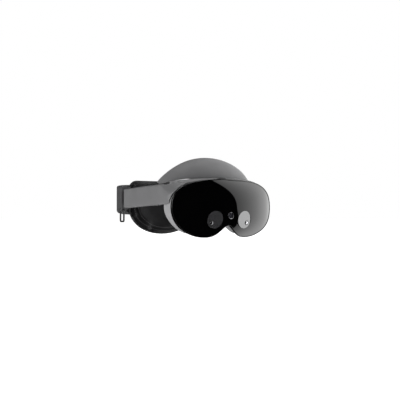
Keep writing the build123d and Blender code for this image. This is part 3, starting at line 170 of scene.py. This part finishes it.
def leather(name, colour, cellScale=620.0):
    finish, tree, shader = newFinish(name, colour, 0.5)
    cells = tree.nodes.new("ShaderNodeTexVoronoi")
    cells.feature = "DISTANCE_TO_EDGE"
    cells.inputs["Scale"].default_value = cellScale
    tree.links.new(objectPoint(tree), cells.inputs["Vector"])
    blotches = tintBetween(tree, noiseOn(tree, 35.0), scaled(colour, 0.8), scaled(colour, 1.25))
    tree.links.new(blotches, shader.inputs["Base Color"])
    tree.links.new(spread(tree, noiseOn(tree, 90.0), 0.42, 0.6), shader.inputs["Roughness"])
    bumpWith(tree, shader, cells.outputs["Distance"], 0.5, 0.0004)
    shader.inputs["Specular IOR Level"].default_value = 0.12
    return finish


def metal(name, colour, roughness, stretch=(1, 1, 1), scale=900.0):
    finish, tree, shader = newFinish(name, colour, roughness, 1.0)
    streaks = noiseOn(tree, scale, 3.0, stretch)
    tree.links.new(spread(tree, streaks, roughness - 0.08, roughness + 0.1), shader.inputs["Roughness"])
    bumpWith(tree, shader, streaks, 0.1, 0.00003)
    return finish


def clearGlass(name, colour, alpha):
    finish, tree, shader = newFinish(name, colour, 0.04)
    shader.inputs["Alpha"].default_value = alpha
    tree.links.new(spread(tree, noiseOn(tree, 30.0), 0.03, 0.06), shader.inputs["Roughness"])
    return finish


def rubber(name, colour):
    finish, tree, shader = newFinish(name, colour, 0.7)
    tree.links.new(spread(tree, noiseOn(tree, 120.0), 0.62, 0.78), shader.inputs["Roughness"])
    bumpWith(tree, shader, noiseOn(tree, 1800.0), 0.25, 0.00006)
    return finish


ridgeBand = {"end": 0.0765, "fade": 0.0006, "perMetre": 420.0, "depth": 0.0002}


def ridgedPlastic(band=ridgeBand):
    finish = satinPlastic("rearPlastic", (0.065, 0.065, 0.067), 0.46)
    tree = finish.node_tree
    shader = tree.nodes["Principled BSDF"]
    grain = shader.inputs["Normal"].links[0].from_socket
    ridges = tree.nodes.new("ShaderNodeTexWave")
    ridges.bands_direction = "Y"
    ridges.inputs["Scale"].default_value = band["perMetre"] / 20
    tree.links.new(objectPoint(tree), ridges.inputs["Vector"])
    split = tree.nodes.new("ShaderNodeSeparateXYZ")
    tree.links.new(objectPoint(tree), split.inputs["Vector"])
    inside = tree.nodes.new("ShaderNodeMapRange")
    inside.inputs["From Min"].default_value = band["end"]
    inside.inputs["From Max"].default_value = band["end"] - band["fade"]
    tree.links.new(split.outputs["Y"], inside.inputs["Value"])
    masked = tree.nodes.new("ShaderNodeMath")
    masked.operation = "MULTIPLY"
    tree.links.new(ridges.outputs["Fac"], masked.inputs[0])
    tree.links.new(inside.outputs["Result"], masked.inputs[1])
    bump = tree.nodes.new("ShaderNodeBump")
    bump.inputs["Strength"].default_value = 0.5
    bump.inputs["Distance"].default_value = band["depth"]
    tree.links.new(masked.outputs["Value"], bump.inputs["Height"])
    tree.links.new(grain, bump.inputs["Normal"])
    tree.links.new(bump.outputs["Normal"], shader.inputs["Normal"])
    return finish


def circuitBoard():
    finish, tree, shader = newFinish("boardFinish", (0.02, 0.12, 0.06), 0.4)
    tracks = noiseOn(tree, 260.0, 6.0, (1, 1, 6))
    greens = tintBetween(tree, tracks, (0.01, 0.08, 0.04), (0.03, 0.17, 0.09))
    tree.links.new(greens, shader.inputs["Base Color"])
    return finish


finishes = {
    "visor_gloss": glossVisor(),
    "gasket_rubber": rubber("gasketRubber", (0.02, 0.02, 0.02)),
    "housing_grey": satinPlastic("housingSatin", (0.3, 0.3, 0.305), 0.36),
    "face_black": satinPlastic("facePlastic", (0.022, 0.022, 0.023), 0.55),
    "frame_alloy": metal("castAlloy", (0.5, 0.51, 0.53), 0.5),
    "halo_grey": satinPlastic("haloSatin", (0.15, 0.15, 0.153), 0.46),
    "window_dark": windowGlass(),
    "camera_black": satinPlastic("cameraPlastic", (0.02, 0.02, 0.02), 0.4),
    "camera_ring": metal("cameraRingMetal", (0.3, 0.3, 0.31), 0.3),
    "lens_glass": clearGlass("lensGlass", (0.2, 0.22, 0.26), 0.55),
    "board_green": circuitBoard(),
    "sink_alloy": metal("sinkAlloy", (0.6, 0.61, 0.63), 0.4, (1, 1, 12)),
    "fan_black": satinPlastic("fanPlastic", (0.03, 0.03, 0.03), 0.5),
    "rail_steel": metal("railSteel", (0.6, 0.6, 0.62), 0.22, (12, 1, 1)),
    "speaker_black": satinPlastic("speakerPlastic", (0.03, 0.03, 0.03), 0.6),
    "status_clear": clearGlass("statusClear", (0.8, 0.85, 0.9), 0.6),
    "screw_steel": metal("screwSteel", (0.3, 0.3, 0.31), 0.35),
    "shell_grey": satinPlastic("shellSatin", (0.15, 0.15, 0.153), 0.62),
    "cushion_leather": leather("cushionLeather", (0.018, 0.018, 0.02)),
    "dial_dark": satinPlastic("dialPlastic", (0.05, 0.05, 0.053), 0.5),
    "barrel_black": satinPlastic("barrelPlastic", (0.012, 0.012, 0.013), 0.55),
    "display_glass": clearGlass("displayGlass", (0.02, 0.02, 0.025), 1.0),
    "gear_white": satinPlastic("gearPlastic", (0.7, 0.69, 0.65), 0.45),
    "rear_dark": ridgedPlastic(),
    "pad_leather": leather("padLeather", (0.007, 0.007, 0.0075)),
    "battery_foil": metal("batteryFoil", (0.5, 0.5, 0.51), 0.35),
    "tongue_dark": satinPlastic("tonguePlastic", (0.04, 0.04, 0.042), 0.4),
    "band_nylon": satinPlastic("bandNylon", (0.06, 0.06, 0.06), 0.5),
    "bush_brass": metal("bushBrass", (0.7, 0.52, 0.22), 0.3),
    "port_steel": metal("portSteel", (0.5, 0.5, 0.52), 0.3),
    "wheel_rubber": rubber("wheelRubber", (0.025, 0.025, 0.026)),
    "key_grey": satinPlastic("keyPlastic", (0.1, 0.1, 0.103), 0.42),
    "loop_steel": satinPlastic("loopCoating", (0.012, 0.012, 0.012), 0.4),
}
print("finishes made,", len(finishes))


# the CAD pieces are merged and shaded smooth
def newPiece(name, mesh, node, finish=None):
    piece = bpy.data.objects.new(name, mesh)
    bpy.context.scene.collection.objects.link(piece)
    piece.data.materials.clear()
    piece.data.materials.append(finish or finishes[slotOf[node]])
    return piece


def mergedMesh(node, sharpAngle):
    mesh = frame["nodes"][node].data.copy()
    shape = bmesh.new()
    shape.from_mesh(mesh)
    bmesh.ops.remove_doubles(shape, verts=shape.verts, dist=2e-6)
    for face in shape.faces:
        face.smooth = True
        face.material_index = 0
    for edge in shape.edges:
        edge.smooth = len(edge.link_faces) == 2 and edge.calc_face_angle(0) < math.radians(sharpAngle)
    shape.to_mesh(mesh)
    shape.free()
    return mesh


def smoothPiece(node, sharpAngle=32.0):
    piece = newPiece(node + "_skin", mergedMesh(node, sharpAngle), node)
    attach(piece, bodyOf[node])
    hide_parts(node)
    return piece


softened = [
    "front_housing", "top_cover", "halo_frame", "arm_cover_left", "arm_cover_right", "centre_camera",
    "centre_camera_lens", "forehead_shell", "forehead_plate", "rear_housing", "rear_cover", "rear_pad_plate",
    "fit_wheel", "cable_loop", "distance_dial", "eye_cover", "lens_barrel_left", "lens_barrel_right",
    "eye_lens_left", "eye_lens_right", "visor_gasket", "tracking_window_left", "tracking_window_right",
]
smoothingAngles = {"halo_frame": 60.0, "forehead_shell": 60.0, "top_cover": 45.0}
for node in softened:
    smoothPiece(node, smoothingAngles.get(node, 32.0))


def keepShape(piece):
    bpy.context.view_layer.update()
    shaped = bpy.data.meshes.new_from_object(piece.evaluated_get(bpy.context.evaluated_depsgraph_get()))
    piece.modifiers.clear()
    piece.data = shaped
    return shaped


def ramped(value, zero, full):
    return min(max((value - zero) / (full - zero), 0), 1)


def soften(piece, voxel, rounds, shoulderRounds, area):
    finish = piece.data.materials[0]
    remesh = piece.modifiers.new("remesh", "REMESH")
    remesh.mode = "VOXEL"
    remesh.voxel_size = voxel
    ease = piece.modifiers.new("ease", "SMOOTH")
    ease.factor = 0.5
    ease.iterations = rounds
    eased = keepShape(piece)
    eased.materials.clear()
    eased.materials.append(finish)
    for face in eased.polygons:
        face.use_smooth = True
    shoulder = piece.vertex_groups.new(name="shoulder")
    for vertex in eased.vertices:
        along = ramped(vertex.co.y, *area["front"]) * ramped(vertex.co.y, *area["rear"])
        raised = ramped(vertex.co.z, *area["low"]) * ramped(abs(vertex.co.x), *area["inner"])
        shoulder.add([vertex.index], along * raised, "REPLACE")
    blur = piece.modifiers.new("blur", "SMOOTH")
    blur.factor = 0.5
    blur.iterations = shoulderRounds
    blur.vertex_group = "shoulder"
    keepShape(piece)
    piece.vertex_groups.clear()


def coat(piece, thickness):
    outward = [v.normal.copy() for v in piece.data.vertices]
    for vertex, way in zip(piece.data.vertices, outward):
        vertex.co += way * thickness


shoulderArea = {
    "front": (-0.119, -0.111), "rear": (-0.035, -0.055),
    "low": (0.054, 0.064), "inner": (0.05, 0.07),
}
haloSoftening = {"voxel": 0.0012, "rounds": 6, "shoulderRounds": 36, "area": shoulderArea}
loopCoat = {"thickness": 0.00045}
soften(bpy.data.objects["halo_frame_skin"], **haloSoftening)
coat(bpy.data.objects["cable_loop_skin"], loopCoat["thickness"])

bpy.data.objects["top_cover_skin"].data.materials[0] = finishes["halo_grey"]
bpy.data.objects["centre_camera_lens_skin"].data.materials[0] = finishes["display_glass"]

for node, part in frame["nodes"].items():
    if node not in softened:
        part.data.materials.clear()
        part.data.materials.append(finishes[slotOf[node]])
print("plain pieces finished")


# the visor takes its normals from the formula of its shape
visorShape = {
    "radius": 0.104, "bulge": 0.062, "middle": 0.048, "reachUp": 0.045, "reachDown": 0.050,
    "crownTop": 0.0125, "crownBottom": 0.0183, "power": 2.5,
    "dent": 0.0055, "dentWidth": 0.016, "dentHeight": 0.026, "dentFade": 0.004,
    "near": 0.0002,
}


def visorDepth(x, z, shape=visorShape):
    depth = shape["bulge"] * (1 - math.sqrt(max(1 - (x / shape["radius"]) ** 2, 0)))
    rise = z - shape["middle"]
    if rise > 0:
        depth += shape["crownTop"] * (rise / shape["reachUp"]) ** shape["power"]
    else:
        depth += shape["crownBottom"] * (-rise / shape["reachDown"]) ** shape["power"]
    dent = shape["dent"] * math.exp(-((x / shape["dentWidth"]) ** 2))
    return depth + dent / (1 + math.exp((z - shape["dentHeight"]) / shape["dentFade"]))


calmShape = dict(visorShape, dent=0.0008)  # the nose dent hardly bends the reflections


def onVisor(point):
    return abs(point.y - visorFrontY - visorDepth(point.x, point.z)) < visorShape["near"]


def visorNormal(x, z, step=0.0002):
    slopeX = (visorDepth(x + step, z, calmShape) - visorDepth(x - step, z, calmShape)) / (2 * step)
    slopeZ = (visorDepth(x, z + step, calmShape) - visorDepth(x, z - step, calmShape)) / (2 * step)
    return Vector((slopeX, -1, slopeZ)).normalized()


def polishVisor():
    visor = smoothPiece("front_visor", 40.0)
    mesh = visor.data
    normals = [corner.vector.copy() for corner in mesh.corner_normals]
    for face in mesh.polygons:
        if all(onVisor(mesh.vertices[i].co) for i in face.vertices):
            for loop in face.loop_indices:
                point = mesh.vertices[mesh.loops[loop].vertex_index].co
                normals[loop] = visorNormal(point.x, point.z)
    mesh.normals_split_custom_set(normals)
    return visor


polishVisor()
print("visor polished")


# a thin bead runs along the visor's edge
beadShape = {"inset": 0.0009, "radius": 0.0008, "sides": 8, "spacing": 0.0025}


def pathMesh(name, points, closed=True):
    mesh = bpy.data.meshes.new(name)
    links = [(i, i + 1) for i in range(len(points) - 1)]
    if closed:
        links.append((len(points) - 1, 0))
    mesh.from_pydata(points, links, [])
    return mesh


def finishedByNodes(piece, tree, settings):
    modifier = piece.modifiers.new(tree.name, "NODES")
    modifier.node_group = tree
    for item in tree.interface.items_tree:
        if item.item_type == "SOCKET" and item.in_out == "INPUT" and item.name in settings:
            modifier[item.identifier] = settings[item.name]
    keepShape(piece)


def newTree(name, inputs):
    tree = bpy.data.node_groups.new(name, "GeometryNodeTree")
    tree.interface.new_socket("Geometry", in_out="INPUT", socket_type="NodeSocketGeometry")
    for label, kind in inputs:
        tree.interface.new_socket(label, in_out="INPUT", socket_type=kind)
    tree.interface.new_socket("Geometry", in_out="OUTPUT", socket_type="NodeSocketGeometry")
    return tree, tree.nodes.new("NodeGroupInput"), tree.nodes.new("NodeGroupOutput")


def tubeTree(finish):
    tree, start, end = newTree("tubeAlongPath", [("Radius", "NodeSocketFloat"), ("Sides", "NodeSocketInt")])
    path = tree.nodes.new("GeometryNodeMeshToCurve")
    ring = tree.nodes.new("GeometryNodeCurvePrimitiveCircle")
    sweep = tree.nodes.new("GeometryNodeCurveToMesh")
    smooth = tree.nodes.new("GeometryNodeSetShadeSmooth")
    paint = tree.nodes.new("GeometryNodeSetMaterial")
    paint.inputs["Material"].default_value = finish
    tree.links.new(start.outputs["Geometry"], path.inputs["Mesh"])
    tree.links.new(start.outputs["Radius"], ring.inputs["Radius"])
    tree.links.new(start.outputs["Sides"], ring.inputs["Resolution"])
    tree.links.new(path.outputs["Curve"], sweep.inputs["Curve"])
    tree.links.new(ring.outputs["Curve"], sweep.inputs["Profile Curve"])
    tree.links.new(sweep.outputs["Mesh"], smooth.inputs["Geometry"])
    tree.links.new(smooth.outputs["Geometry"], paint.inputs["Geometry"])
    tree.links.new(paint.outputs["Geometry"], end.inputs["Geometry"])
    return tree


def stitchTree(finish):
    tree, start, end = newTree("stitchesAlongPath", [
        ("Spacing", "NodeSocketFloat"), ("Thread", "NodeSocketFloat"), ("Length", "NodeSocketFloat"),
    ])
    path = tree.nodes.new("GeometryNodeMeshToCurve")
    steps = tree.nodes.new("GeometryNodeCurveToPoints")
    steps.mode = "LENGTH"
    thread = tree.nodes.new("GeometryNodeMeshCylinder")
    thread.inputs["Vertices"].default_value = 6
    place = tree.nodes.new("GeometryNodeInstanceOnPoints")
    realize = tree.nodes.new("GeometryNodeRealizeInstances")
    paint = tree.nodes.new("GeometryNodeSetMaterial")
    paint.inputs["Material"].default_value = finish
    tree.links.new(start.outputs["Geometry"], path.inputs["Mesh"])
    tree.links.new(path.outputs["Curve"], steps.inputs["Curve"])
    tree.links.new(start.outputs["Spacing"], steps.inputs["Length"])
    tree.links.new(start.outputs["Thread"], thread.inputs["Radius"])
    tree.links.new(start.outputs["Length"], thread.inputs["Depth"])
    align = tree.nodes.new("FunctionNodeAlignEulerToVector")
    align.axis = "Z"
    tree.links.new(steps.outputs["Tangent"], align.inputs["Vector"])
    tree.links.new(steps.outputs["Points"], place.inputs["Points"])
    tree.links.new(thread.outputs["Mesh"], place.inputs["Instance"])
    tree.links.new(align.outputs["Rotation"], place.inputs["Rotation"])
    tree.links.new(place.outputs["Instances"], realize.inputs["Geometry"])
    tree.links.new(realize.outputs["Geometry"], paint.inputs["Geometry"])
    tree.links.new(paint.outputs["Geometry"], end.inputs["Geometry"])
    return tree


tube = tubeTree(finishes["visor_gloss"])


def visorRim(setup):
    mesh = bpy.data.objects["front_visor_skin"].data
    places = {}
    for edge in mesh.edges:
        if edge.use_edge_sharp:
            if all(onVisor(mesh.vertices[i].co) for i in edge.vertices):
                for own, other in (edge.vertices, reversed(edge.vertices)):
                    places.setdefault(own, []).append(other)
    loops, seen = [], set()
    for first in places:
        if first in seen:
            continue
        walk, current = [], first
        while current is not None:
            seen.add(current)
            walk.append(mesh.vertices[current].co.copy())
            current = next((other for other in places[current] if other not in seen), None)
        loops.append(walk)
    rim = max(loops, key=len)
    kept = [rim[0]]
    for point in rim[1:]:
        if (point - kept[-1]).length > setup["spacing"]:
            kept.append(point)
    points = []
    count = len(kept)
    area = sum(kept[i - 1].x * kept[i].z - kept[i].x * kept[i - 1].z for i in range(count))
    for i in range(count):
        along = kept[(i + 1) % count] - kept[i - 1]
        inward = Vector((-along.z, 0, along.x)).normalized() * (1 if area > 0 else -1)
        x, z = kept[i].x + inward.x * setup["inset"], kept[i].z + inward.z * setup["inset"]
        points.append((x, visorFrontY + visorDepth(x, z), z))
    bead = newPiece("visor_edge_bead", pathMesh("visorEdge", points), "front_visor")
    finishedByNodes(bead, tube, {"Radius": setup["radius"], "Sides": setup["sides"]})
    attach(bead, "headset")


visorRim(beadShape)
print("visor bead run round the edge")


# a small lens with a ring shows through each tracking window
windowLens = {
    "x": 0.026, "z": 0.028, "proud": 0.0006, "turn": 11.0, "tilt": 12.0,
    "aside": 0.0055, "drop": -0.005, "ring": 0.0031, "wire": 0.00055, "wireFlat": 0.5, "ringLift": 0.0001,
    "glass": 0.0023, "glassFlat": 0.3, "steps": 40, "sides": 10,
}


def windowFrame(side, setup):
    turn, tilt = math.radians(setup["turn"]), math.radians(setup["tilt"])
    level = math.cos(tilt)
    normal = Vector((side * math.sin(turn) * level, -math.cos(turn) * level, -math.sin(tilt)))
    across = Vector((math.cos(turn), side * math.sin(turn), 0))
    x, z = side * setup["x"], setup["z"]
    centre = Vector((x, visorFrontY + visorDepth(x, z) + setup["proud"], z))
    return centre, across, normal.cross(across), normal


def placed(mesh, side, setup, lift):
    centre, across, upward, normal = windowFrame(side, setup)
    if upward.z < 0:
        upward = -upward
    middle = centre + across * side * setup["aside"] + upward * setup["drop"] + normal * lift
    for vertex in mesh.vertices:
        local = vertex.co.copy()
        vertex.co = middle + across * local.x + upward * local.y + normal * local.z


def smoothMesh(name, shape):
    for face in shape.faces:
        face.smooth = True
    mesh = bpy.data.meshes.new(name)
    shape.to_mesh(mesh)
    shape.free()
    return mesh


def wireRing(setup):
    shape = bmesh.new()
    steps, sides = setup["steps"], setup["sides"]
    rows = []
    for i in range(steps):
        angle = 2 * math.pi * i / steps
        row = []
        for j in range(sides):
            bend = 2 * math.pi * j / sides
            reach = setup["ring"] + setup["wire"] * math.cos(bend)
            lift = setup["wire"] * setup["wireFlat"] * math.sin(bend)
            row.append(shape.verts.new((reach * math.cos(angle), reach * math.sin(angle), lift)))
        rows.append(row)
    for i in range(steps):
        for j in range(sides):
            a, b = rows[i], rows[(i + 1) % steps]
            shape.faces.new((a[j], b[j], b[(j + 1) % sides], a[(j + 1) % sides]))
    bmesh.ops.recalc_face_normals(shape, faces=shape.faces)
    return smoothMesh("windowRing", shape)


def lensBulb(setup):
    shape = bmesh.new()
    bmesh.ops.create_uvsphere(shape, u_segments=32, v_segments=16, radius=setup["glass"])
    for vertex in shape.verts:
        vertex.co.z *= setup["glassFlat"]
    return smoothMesh("windowBulb", shape)


def addWindowLens(side, name, setup):
    ringMesh = wireRing(setup)
    placed(ringMesh, side, setup, setup["ringLift"])
    ring = newPiece("window_ring_" + name, ringMesh, "tracking_camera_" + name)
    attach(ring, "headset")
    glassMesh = lensBulb(setup)
    placed(glassMesh, side, setup, 0.0)
    glass = newPiece("window_lens_" + name, glassMesh, "centre_camera_lens", glintGlass)
    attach(glass, "headset")


glintGlass, glintTree, glintShader = newFinish("cameraLensGlint", (0.55, 0.55, 0.57), 0.12, 1.0)
glintHaze = spread(glintTree, noiseOn(glintTree, 300.0), 0.08, 0.2)
glintTree.links.new(glintHaze, glintShader.inputs["Roughness"])
addWindowLens(-1, "right", windowLens)
addWindowLens(1, "left", windowLens)
print("window lenses placed")


# both cushions swell under cloth pressure from a slightly smaller shape
rearPad = {
    "voxel": 0.0045, "shrink": 0.975, "pressure": 4.0, "frames": 20, "cap": 0.004,
    "halfWidth": 0.074, "low": 0.055, "footRise": 0.055, "top": 0.098, "corner": 0.022,
    "seamIn": 0.0105, "seamDepth": 0.0022, "seamWidth": 0.0018, "dish": 0.0045, "dishFade": 0.02,
    "facing": -0.35, "floor": 0.0002, "seamCentre": 0.052, "reach": 0.12,
    "stitchGap": 0.0028, "stitchLift": 0.0001, "spacing": 0.0042, "thread": 0.00032, "stitch": 0.0029,
}
browPad = {"voxel": 0.004, "shrink": 0.97, "pressure": 4.0, "frames": 20, "cap": 0.0025}


def swollenCushion(node, setup):
    mesh = mergedMesh(node, 180.0)
    cushion = newPiece(node + "_soft", mesh, node)
    middle = sum((v.co for v in mesh.vertices), Vector()) / len(mesh.vertices)
    for vertex in mesh.vertices:
        vertex.co = middle + (vertex.co - middle) * setup["shrink"]
    remesh = cushion.modifiers.new("remesh", "REMESH")
    remesh.mode = "VOXEL"
    remesh.voxel_size = setup["voxel"]
    keepShape(cushion)
    startPoints = [v.co.copy() for v in cushion.data.vertices]
    cloth = cushion.modifiers.new("cloth", "CLOTH")
    cloth.settings.use_pressure = True
    cloth.settings.uniform_pressure_force = setup["pressure"]
    cloth.settings.effector_weights.gravity = 0
    cloth.point_cache.frame_start = 1
    cloth.point_cache.frame_end = setup["frames"]
    scene = bpy.context.scene
    for number in range(1, setup["frames"] + 1):
        scene.frame_set(number)
    graph = bpy.context.evaluated_depsgraph_get()
    blown = bpy.data.meshes.new_from_object(cushion.evaluated_get(graph))
    cushion.modifiers.clear()
    cushion.data = blown
    scene.frame_set(1)
    for vertex, before in zip(blown.vertices, startPoints):
        step = vertex.co - before
        if step.length > setup["cap"]:
            vertex.co = before + step.normalized() * setup["cap"]
    finer = cushion.modifiers.new("finer", "SUBSURF")
    finer.levels = 1
    finer.render_levels = 1
    keepShape(cushion)
    cushion.data.materials.clear()
    cushion.data.materials.append(finishes[slotOf[node]])
    for face in cushion.data.polygons:
        face.use_smooth = True
    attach(cushion, bodyOf[node])
    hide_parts(node)
    return cushion


def edgeDistance(x, z, setup):
    x = abs(x)
    if z < setup["low"]:
        reach = math.hypot(x / setup["halfWidth"], (z - setup["low"]) / setup["footRise"])
        return (1 - reach) * setup["footRise"]
    inX, inZ = setup["halfWidth"] - x, setup["top"] - z
    if inX < setup["corner"] and inZ < setup["corner"]:
        return setup["corner"] - math.hypot(setup["corner"] - inX, setup["corner"] - inZ)
    return min(inX, inZ)


def dishRearPad(cushion, setup):
    mesh = cushion.data
    facings = [v.normal.y for v in mesh.vertices]
    for vertex, facing in zip(mesh.vertices, facings):
        if facing < setup["facing"]:
            distance = edgeDistance(vertex.co.x, vertex.co.z, setup)
            share = ramped(distance, setup["seamIn"], setup["seamIn"] + setup["dishFade"])
            fromSeam = (distance - setup["seamIn"]) / setup["seamWidth"]
            groove = setup["seamDepth"] * math.exp(-(fromSeam**2))
            vertex.co.y += setup["dish"] * share * share * (3 - 2 * share) + groove
    for vertex in mesh.vertices:
        vertex.co.z = max(vertex.co.z, setup["floor"])
    mesh.update()


def insetPath(distance, setup, count=220):
    points = []
    for i in range(count):
        angle = 2 * math.pi * i / count
        low, high = 0.0, setup["reach"]
        for _ in range(24):
            middle = (low + high) / 2
            x, z = middle * math.cos(angle), setup["seamCentre"] + middle * math.sin(angle)
            if edgeDistance(x, z, setup) > distance:
                low = middle
            else:
                high = middle
        points.append((low * math.cos(angle), setup["seamCentre"] + low * math.sin(angle)))
    return points


def onFront(cushion, flat, lift):
    points = []
    for x, z in flat:
        hit, place, normal, _ = cushion.ray_cast(Vector((x, 0.0, z)), Vector((0, 1, 0)))
        if hit:
            points.append(tuple(place + normal * lift))
    return points


stitchFinish, stitchNodes, stitchShader = newFinish("stitchThread", (0.05, 0.05, 0.052), 0.7)
fuzz = spread(stitchNodes, noiseOn(stitchNodes, 2000.0), 0.6, 0.8)
stitchNodes.links.new(fuzz, stitchShader.inputs["Roughness"])
stitches = stitchTree(stitchFinish)
rearCushion = swollenCushion("rear_cushion", rearPad)
dishRearPad(rearCushion, rearPad)
bpy.context.view_layer.update()
threadSize = {"Spacing": rearPad["spacing"], "Thread": rearPad["thread"], "Length": rearPad["stitch"]}
for name, offset in (("outer", -rearPad["stitchGap"]), ("inner", rearPad["stitchGap"])):
    seamPath = insetPath(rearPad["seamIn"] + offset, rearPad)
    seamPoints = onFront(rearCushion, seamPath, rearPad["stitchLift"])
    seam = newPiece("rear_pad_stitches_" + name, pathMesh("stitchPath", seamPoints), "rear_cushion")
    finishedByNodes(seam, stitches, threadSize)
    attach(seam, "rear_unit")
swollenCushion("forehead_cushion", browPad)
print("cushions swollen and stitched")


# a pale floor, one bright panel that only reflections see, and three soft lamps
studioSetup = {
    "ambient": 0.2, "darkGlow": 0.001, "floorGlow": 0.9, "floorReach": 6.0, "floorDrop": 0.0005,
    "panelCentre": (0, -0.14, 0.05), "panelRadius": 1.6, "panelGlow": (1.3, 3.5, 2.4), "panelGrid": 16,
    "panelEdge": ((56.0, -76.0), (42.0, -24.0), (26.0, 64.0)), "panelEnd": 140.0,
}


def makeWorld(setup):
    world = bpy.data.worlds.new("studio")
    bpy.context.scene.world = world
    world.use_nodes = True
    tree = world.node_tree
    tree.nodes.clear()
    output = tree.nodes.new("ShaderNodeOutputWorld")
    rays = tree.nodes.new("ShaderNodeLightPath")
    white = tree.nodes.new("ShaderNodeBackground")
    white.inputs["Strength"].default_value = 1.0
    white.inputs["Color"].default_value = (1, 1, 1, 1)
    soft = tree.nodes.new("ShaderNodeBackground")
    soft.inputs["Color"].default_value = (1, 1, 1, 1)
    soft.inputs["Strength"].default_value = setup["ambient"]
    dark = tree.nodes.new("ShaderNodeBackground")
    dark.inputs["Color"].default_value = (setup["darkGlow"], setup["darkGlow"], setup["darkGlow"], 1)
    glossyMix = tree.nodes.new("ShaderNodeMixShader")
    cameraMix = tree.nodes.new("ShaderNodeMixShader")
    tree.links.new(rays.outputs["Is Glossy Ray"], glossyMix.inputs[0])
    tree.links.new(soft.outputs[0], glossyMix.inputs[1])
    tree.links.new(dark.outputs[0], glossyMix.inputs[2])
    tree.links.new(rays.outputs["Is Camera Ray"], cameraMix.inputs[0])
    tree.links.new(glossyMix.outputs[0], cameraMix.inputs[1])
    tree.links.new(white.outputs[0], cameraMix.inputs[2])
    tree.links.new(cameraMix.outputs[0], output.inputs["Surface"])


def glowFinish(name, strength, base=0.9):
    finish, tree, shader = newFinish(name, (base, base, base), 0.9)
    shader.inputs["Emission Color"].default_value = (1, 1, 1, 1)
    shader.inputs["Emission Strength"].default_value = strength
    return finish


def makeFloor(setup):
    mesh = bpy.data.meshes.new("floor")
    far = setup["floorReach"]
    mesh.from_pydata([(-far, -far, 0), (far, -far, 0), (far, far, 0), (-far, far, 0)], [], [(0, 1, 2, 3)])
    floor = bpy.data.objects.new("floor", mesh)
    bpy.context.scene.collection.objects.link(floor)
    floor.data.materials.append(glowFinish("floorPaint", setup["floorGlow"]))
    floor.location.z = -setup["floorDrop"]
    floor.visible_glossy = False


def lightPanel(setup):
    lowEdge, bendEdge, highEdge = setup["panelEdge"]
    rows = columns = setup["panelGrid"]
    points, faces = [], []
    for j in range(rows + 1):
        share = 2 * j / rows
        first, second = (lowEdge, bendEdge) if share <= 1 else (bendEdge, highEdge)
        share = share if share <= 1 else share - 1
        rise = math.radians(first[1] + (second[1] - first[1]) * share)
        edgeTurn = first[0] + (second[0] - first[0]) * share
        for i in range(columns + 1):
            turn = math.radians(edgeTurn + (setup["panelEnd"] - edgeTurn) * i / columns)
            level = math.cos(rise)
            direction = Vector((math.sin(turn) * level, -math.cos(turn) * level, math.sin(rise)))
            points.append(Vector(setup["panelCentre"]) + direction * setup["panelRadius"])
    for j in range(rows):
        for i in range(columns):
            a = j * (columns + 1) + i
            faces.append((a, a + 1, a + columns + 2, a + columns + 1))
    mesh = bpy.data.meshes.new("lightPanel")
    mesh.from_pydata(points, [], faces)
    panel = bpy.data.objects.new("lightPanel", mesh)
    bpy.context.scene.collection.objects.link(panel)
    nearGlow, midGlow, farGlow = setup["panelGlow"]
    glow = mesh.attributes.new("glow", "FLOAT", "POINT")
    for i in range(len(points)):
        share = (i % (columns + 1)) / columns
        rising = (midGlow - nearGlow) * min(share * 2.5, 1)
        falling = (farGlow - midGlow) * max(share * 1.5 - 0.4, 0)
        glow.data[i].value = nearGlow + rising + falling
    cloth = glowFinish("panelCloth", 1.0, 0.0)
    reader = cloth.node_tree.nodes.new("ShaderNodeAttribute")
    reader.attribute_name = "glow"
    shader = cloth.node_tree.nodes["Principled BSDF"]
    cloth.node_tree.links.new(reader.outputs["Fac"], shader.inputs["Emission Strength"])
    panel.data.materials.append(cloth)
    panel.visible_camera = False
    panel.visible_diffuse = False
    panel.visible_shadow = False


def addLight(name, place, aim, size, power, mirrored=True):
    light = bpy.data.lights.new(name, "AREA")
    light.size = size
    light.energy = power
    lamp = bpy.data.objects.new(name, light)
    lamp.location = place
    lamp.rotation_euler = (Vector(aim) - Vector(place)).to_track_quat("-Z", "Y").to_euler()
    lamp.visible_glossy = mirrored
    bpy.context.scene.collection.objects.link(lamp)


makeWorld(studioSetup)
makeFloor(studioSetup)
lightPanel(studioSetup)
addLight("overheadSoftbox", (0.1, 0.35, 1.3), (0, 0, 0.05), 0.8, 5.0)
addLight("leftFill", (-1.6, -0.1, 0.35), (0, 0.0, 0.06), 0.7, 13.0)
addLight("rightFill", (1.1, -0.9, 0.7), (0, -0.05, 0.08), 0.6, 10.0, False)
bpy.context.scene.view_settings.view_transform = "Standard"
print("studio set")
